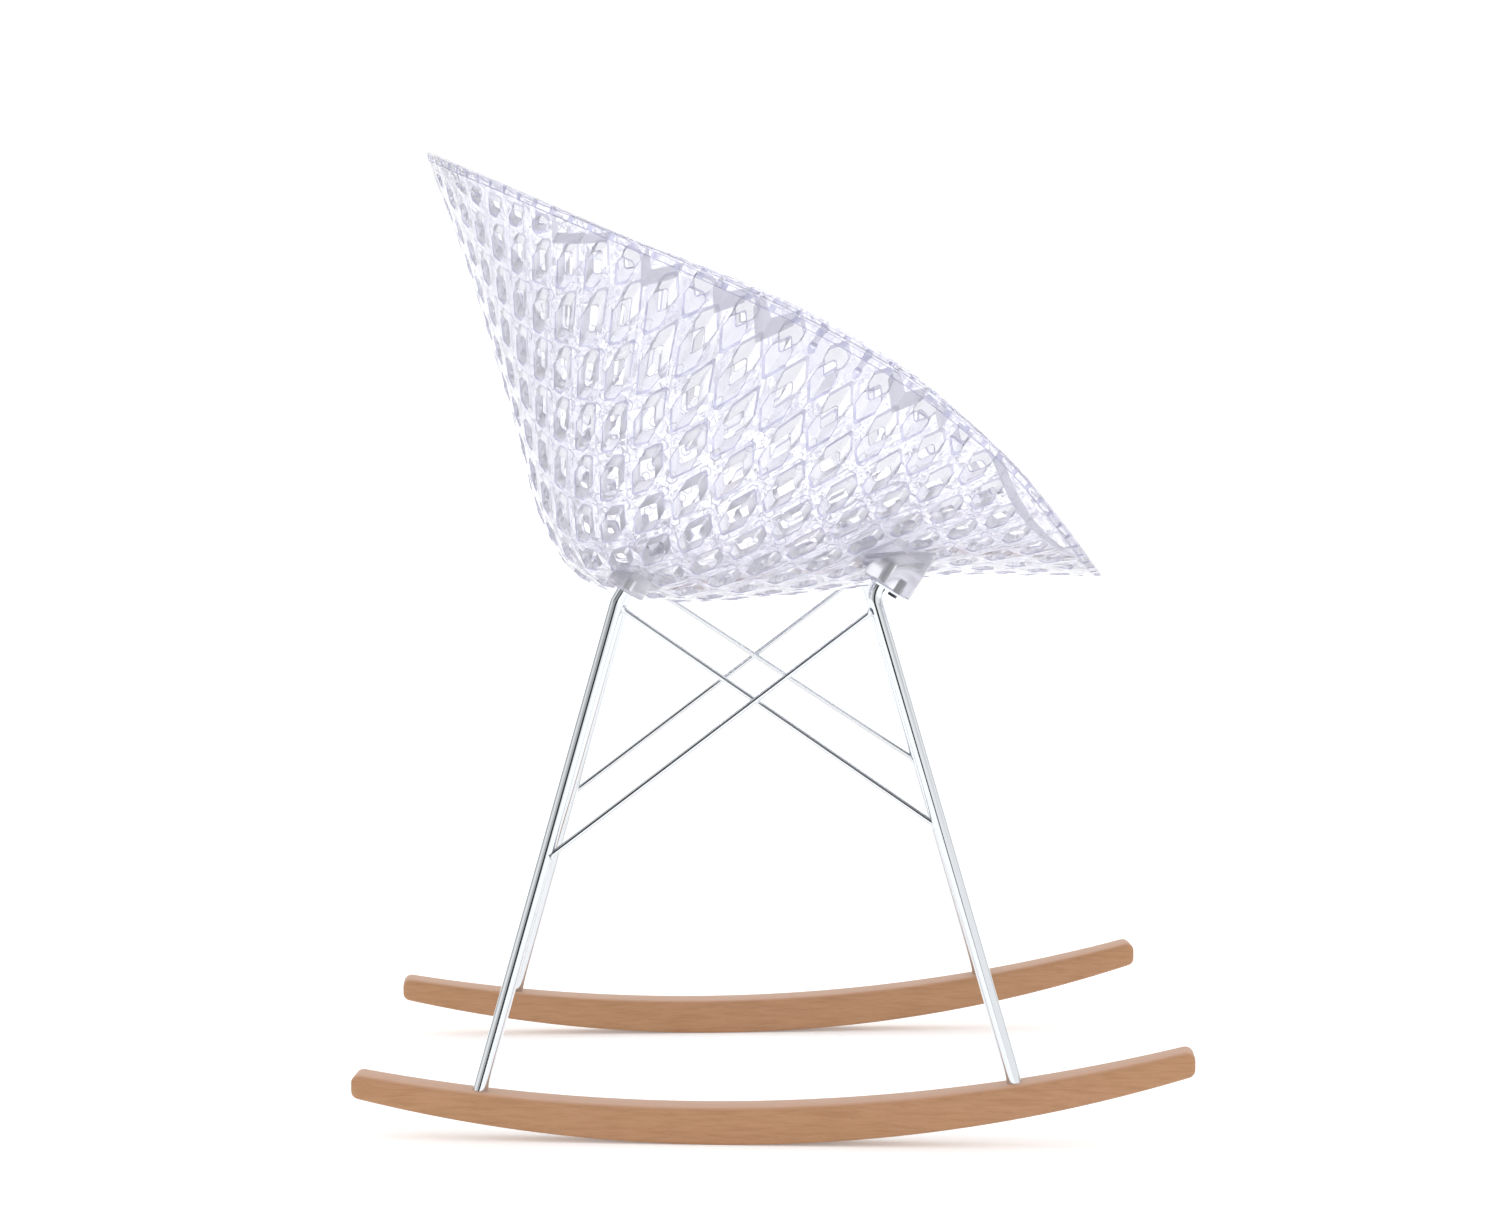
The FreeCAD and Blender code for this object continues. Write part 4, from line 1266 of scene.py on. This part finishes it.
class CHAIR_OT_fasteners(bpy.types.Operator):
    """Finishes the screws and the plugs in the legs' feet, and builds the pins in the posts"""

    bl_idname = "chair.fasteners"
    bl_label = "Plated fasteners"

    def execute(self, context):
        zinc = plated_steel("zinc_plated_steel", 0x8F9396, 0xB9BDC0)
        blued = plated_steel("blued_steel", 0x2C2F38, 0x474B55)
        for side in SIDES:
            finish_node(f"tab_screw_{side}", blued)
            for end in ENDS:
                finish_node(f"leg_plug_{end}_{side}", zinc)
                finish_node(f"rocker_screw_{end}_{side}", zinc)
                leg = LegLine(end, side)
                top = leg.mouth + DRAW * leg.socket
                ends = [leg.mouth - DRAW * STUD_ROOT, top]
                stud = loft(rings_along(ends, [STUD_RADIUS] * 2, ROD_SIDES))
                mesh = smooth(to_mesh(stud, "stud"))
                new_piece(f"leg_stud_{end}_{side}", mesh, blued, "plated_fastener")
        return {"FINISHED"}


# Studio
CAMERA_PLACE = (-0.0076, -3.0537, 0.6860)
CAMERA_PITCH = math.radians(85.104)
CAMERA_YAW = math.radians(0.192)
SENSOR_WIDTH = 36.0
FLOOR_HALF = 30.0
# The light crosses many faces of the clear lattice before it leaves it
LIGHT_BOUNCES = 32
# Flags round the studio: degrees from the camera's side towards the chair's front, strength
FLAGS = (
    (-180, 1.0), (-158, 0.9), (-140, 0.45), (-112, 0.5), (-92, 1.0), (-62, 0.95), (-48, 0.55),
    (-30, 0.50), (-24, 0.03), (-4, 0.03), (3, 1.0), (95, 1.0), (128, 0.65), (160, 0.85),
    (180, 1.0),
)
# Where each part of the light sets in: low and high value, and the factor at its far end
TOP_FLAG_HEIGHT = (0.20, 0.40)
TOP_FLAG_SIDE = (0.0, 0.35)
CARD_TURN = (0.16, 0.42)
OVERHEAD = (0.15, 0.8)
OVERHEAD_GAIN = 1.25


class CHAIR_OT_stage(bpy.types.Operator):
    """Sets the floor, the white studio light and the camera"""

    bl_idname = "chair.stage"
    bl_label = "Stage"

    def execute(self, context):
        settings = context.scene.chair_studio
        self.floor(settings)
        self.light(settings)
        lens = bpy.data.cameras.new("camera")
        lens.lens = settings.lens
        lens.sensor_width = SENSOR_WIDTH
        camera = bpy.data.objects.new("camera", lens)
        camera.location = CAMERA_PLACE
        camera.rotation_euler = (CAMERA_PITCH, 0.0, CAMERA_YAW)
        context.scene.collection.objects.link(camera)
        context.scene.camera = camera
        context.scene.view_settings.view_transform = "Standard"
        context.scene.cycles.max_bounces = LIGHT_BOUNCES
        context.scene.cycles.transmission_bounces = LIGHT_BOUNCES
        context.scene.cycles.glossy_bounces = LIGHT_BOUNCES
        return {"FINISHED"}

    @staticmethod
    def floor(settings):
        build = bmesh.new()
        bmesh.ops.create_grid(build, x_segments=1, y_segments=1, size=FLOOR_HALF)
        mesh = bpy.data.meshes.new("floor")
        build.to_mesh(mesh)
        build.free()
        material, tree, _ = new_material("studio_floor")
        shader = add(tree, "ShaderNodeBsdfPrincipled", inputs={
            "Base Color": linear(settings.floor), "Roughness": 0.8, "Specular IOR Level": 0.1,
            "Emission Color": linear(0xFFFFFF), "Emission Strength": settings.floor_glow})
        add(tree, "ShaderNodeOutputMaterial", inputs={"Surface": shader})
        mesh.materials.append(material)
        floor = bpy.data.objects.new("floor", mesh)
        bpy.context.scene.collection.objects.link(floor)

    @staticmethod
    def light(settings):
        """White studio, brighter overhead, with dark and grey flags that show in reflections."""
        world = bpy.data.worlds.new("studio")
        bpy.context.scene.world = world
        world.use_nodes = True
        tree = world.node_tree
        tree.nodes.clear()

        way = add(tree, "ShaderNodeSeparateXYZ", inputs={
            "Vector": add(tree, "ShaderNodeTexCoord").outputs["Generated"]}).outputs
        rays = add(tree, "ShaderNodeLightPath").outputs
        ahead = add(tree, "ShaderNodeMath", {"operation": "MULTIPLY"}, {0: way["Y"], 1: -1.0})
        turn = add(tree, "ShaderNodeMath", {"operation": "ARCTAN2"}, {0: way["X"], 1: ahead})
        aside = add(tree, "ShaderNodeMath", {"operation": "ABSOLUTE"}, {0: turn})
        full_turn = add(tree, "ShaderNodeMath", {"operation": "MULTIPLY_ADD"}, {
            0: turn, 1: 0.5 / math.pi, 2: 0.5})
        flags = add(tree, "ShaderNodeValToRGB", inputs={"Fac": full_turn})
        stops = flags.color_ramp.elements
        for degrees, _ in FLAGS[1:-1]:
            stops.new(degrees / 360 + 0.5)
        for stop, (degrees, strength) in zip(stops, FLAGS):
            stop.position = degrees / 360 + 0.5
            stop.color = (strength, strength, strength, 1.0)
        rises = [add(tree, "ShaderNodeMapRange", {"interpolation_type": "SMOOTHSTEP"}, {
            "Value": value, "From Min": low, "From Max": high, "To Min": start, "To Max": stop})
            for value, (low, high), start, stop in (
                (way["Z"], TOP_FLAG_HEIGHT, 0.0, 1.0), (ahead, TOP_FLAG_SIDE, 0.0, 1.0),
                (aside, CARD_TURN, settings.card_through, 1.0),
                (way["Z"], OVERHEAD, 1.0, OVERHEAD_GAIN))]
        high_up, near_side, card, overhead = rises
        # Each row works out one value from the ones before it
        values = {"flags": flags, "high up": high_up, "near side": near_side, "card": card,
                  "overhead": overhead, "depth": rays["Transmission Depth"],
                  "glossy ray": rays["Is Glossy Ray"], "through ray": rays["Is Transmission Ray"]}
        for name, operation, *operands in (
                # A dark flag overhead, on the camera's side
                ("lofty", "MULTIPLY", "high up", "near side"),
                ("top", "MULTIPLY_ADD", "lofty", settings.top_flag - 1.0, 1.0),
                ("mirrored", "MULTIPLY", "flags", "top"),
                ("mirror loss", "SUBTRACT", "mirrored", 1.0),
                # The plastic softens the flags that show in the inside of its own surfaces
                ("inside", "MINIMUM", "depth", 1.0),
                ("seen", "MULTIPLY_ADD", "inside", -settings.softening, 1.0),
                ("glossy", "MULTIPLY", "glossy ray", "seen"),
                ("glossy loss", "MULTIPLY", "glossy", "mirror loss"),
                ("card loss", "SUBTRACT", "card", 1.0),
                ("through loss", "MULTIPLY", "through ray", "card loss"),
                ("loss", "ADD", "glossy loss", "through loss"),
                ("shade", "ADD", "loss", 1.0),
                ("lit", "MULTIPLY", "overhead", "shade"),
                ("strength", "MULTIPLY", "lit", settings.sky)):
            inputs = {index: values.get(one, one) for index, one in enumerate(operands)}
            values[name] = add(tree, "ShaderNodeMath", {"operation": operation}, inputs)
        background = add(tree, "ShaderNodeBackground", inputs={
            "Color": linear(0xFFFFFF), "Strength": values["strength"]})
        add(tree, "ShaderNodeOutputWorld", inputs={"Surface": background})


class CHAIR_PT_panel(bpy.types.Panel):
    """Lists the pieces of the chair"""

    bl_idname = "CHAIR_PT_panel"
    bl_label = "Rocking Chair"
    bl_space_type = "VIEW_3D"
    bl_region_type = "UI"
    bl_category = "Rocking Chair"

    def draw(self, context):
        for operator in OPERATORS:
            self.layout.operator(operator.bl_idname)
        for name in SETTINGS:
            box = self.layout.box()
            group = getattr(context.scene, name)
            for key in group.bl_rna.properties.keys():
                if key not in {"rna_type", "name"}:
                    box.prop(group, key)


SETTINGS = {
    "chair_shell": ShellSettings,
    "chair_legs": LegSettings,
    "chair_rockers": RockerSettings,
    "chair_studio": StudioSettings,
}
OPERATORS = (CHAIR_OT_stage, CHAIR_OT_shell, CHAIR_OT_legs, CHAIR_OT_rockers, CHAIR_OT_fasteners)


def register():
    for kind in (*SETTINGS.values(), *OPERATORS, CHAIR_PT_panel):
        bpy.utils.register_class(kind)
    for name, kind in SETTINGS.items():
        setattr(bpy.types.Scene, name, PointerProperty(type=kind))


def unregister():
    for name in SETTINGS:
        delattr(bpy.types.Scene, name)
    for kind in reversed((*SETTINGS.values(), *OPERATORS, CHAIR_PT_panel)):
        bpy.utils.unregister_class(kind)


def main():
    """Builds the chair."""
    register()
    bpy.ops.chair.stage()
    bpy.ops.chair.shell()
    bpy.ops.chair.legs()
    bpy.ops.chair.rockers()
    bpy.ops.chair.fasteners()


if __name__ == "__main__":
    main()
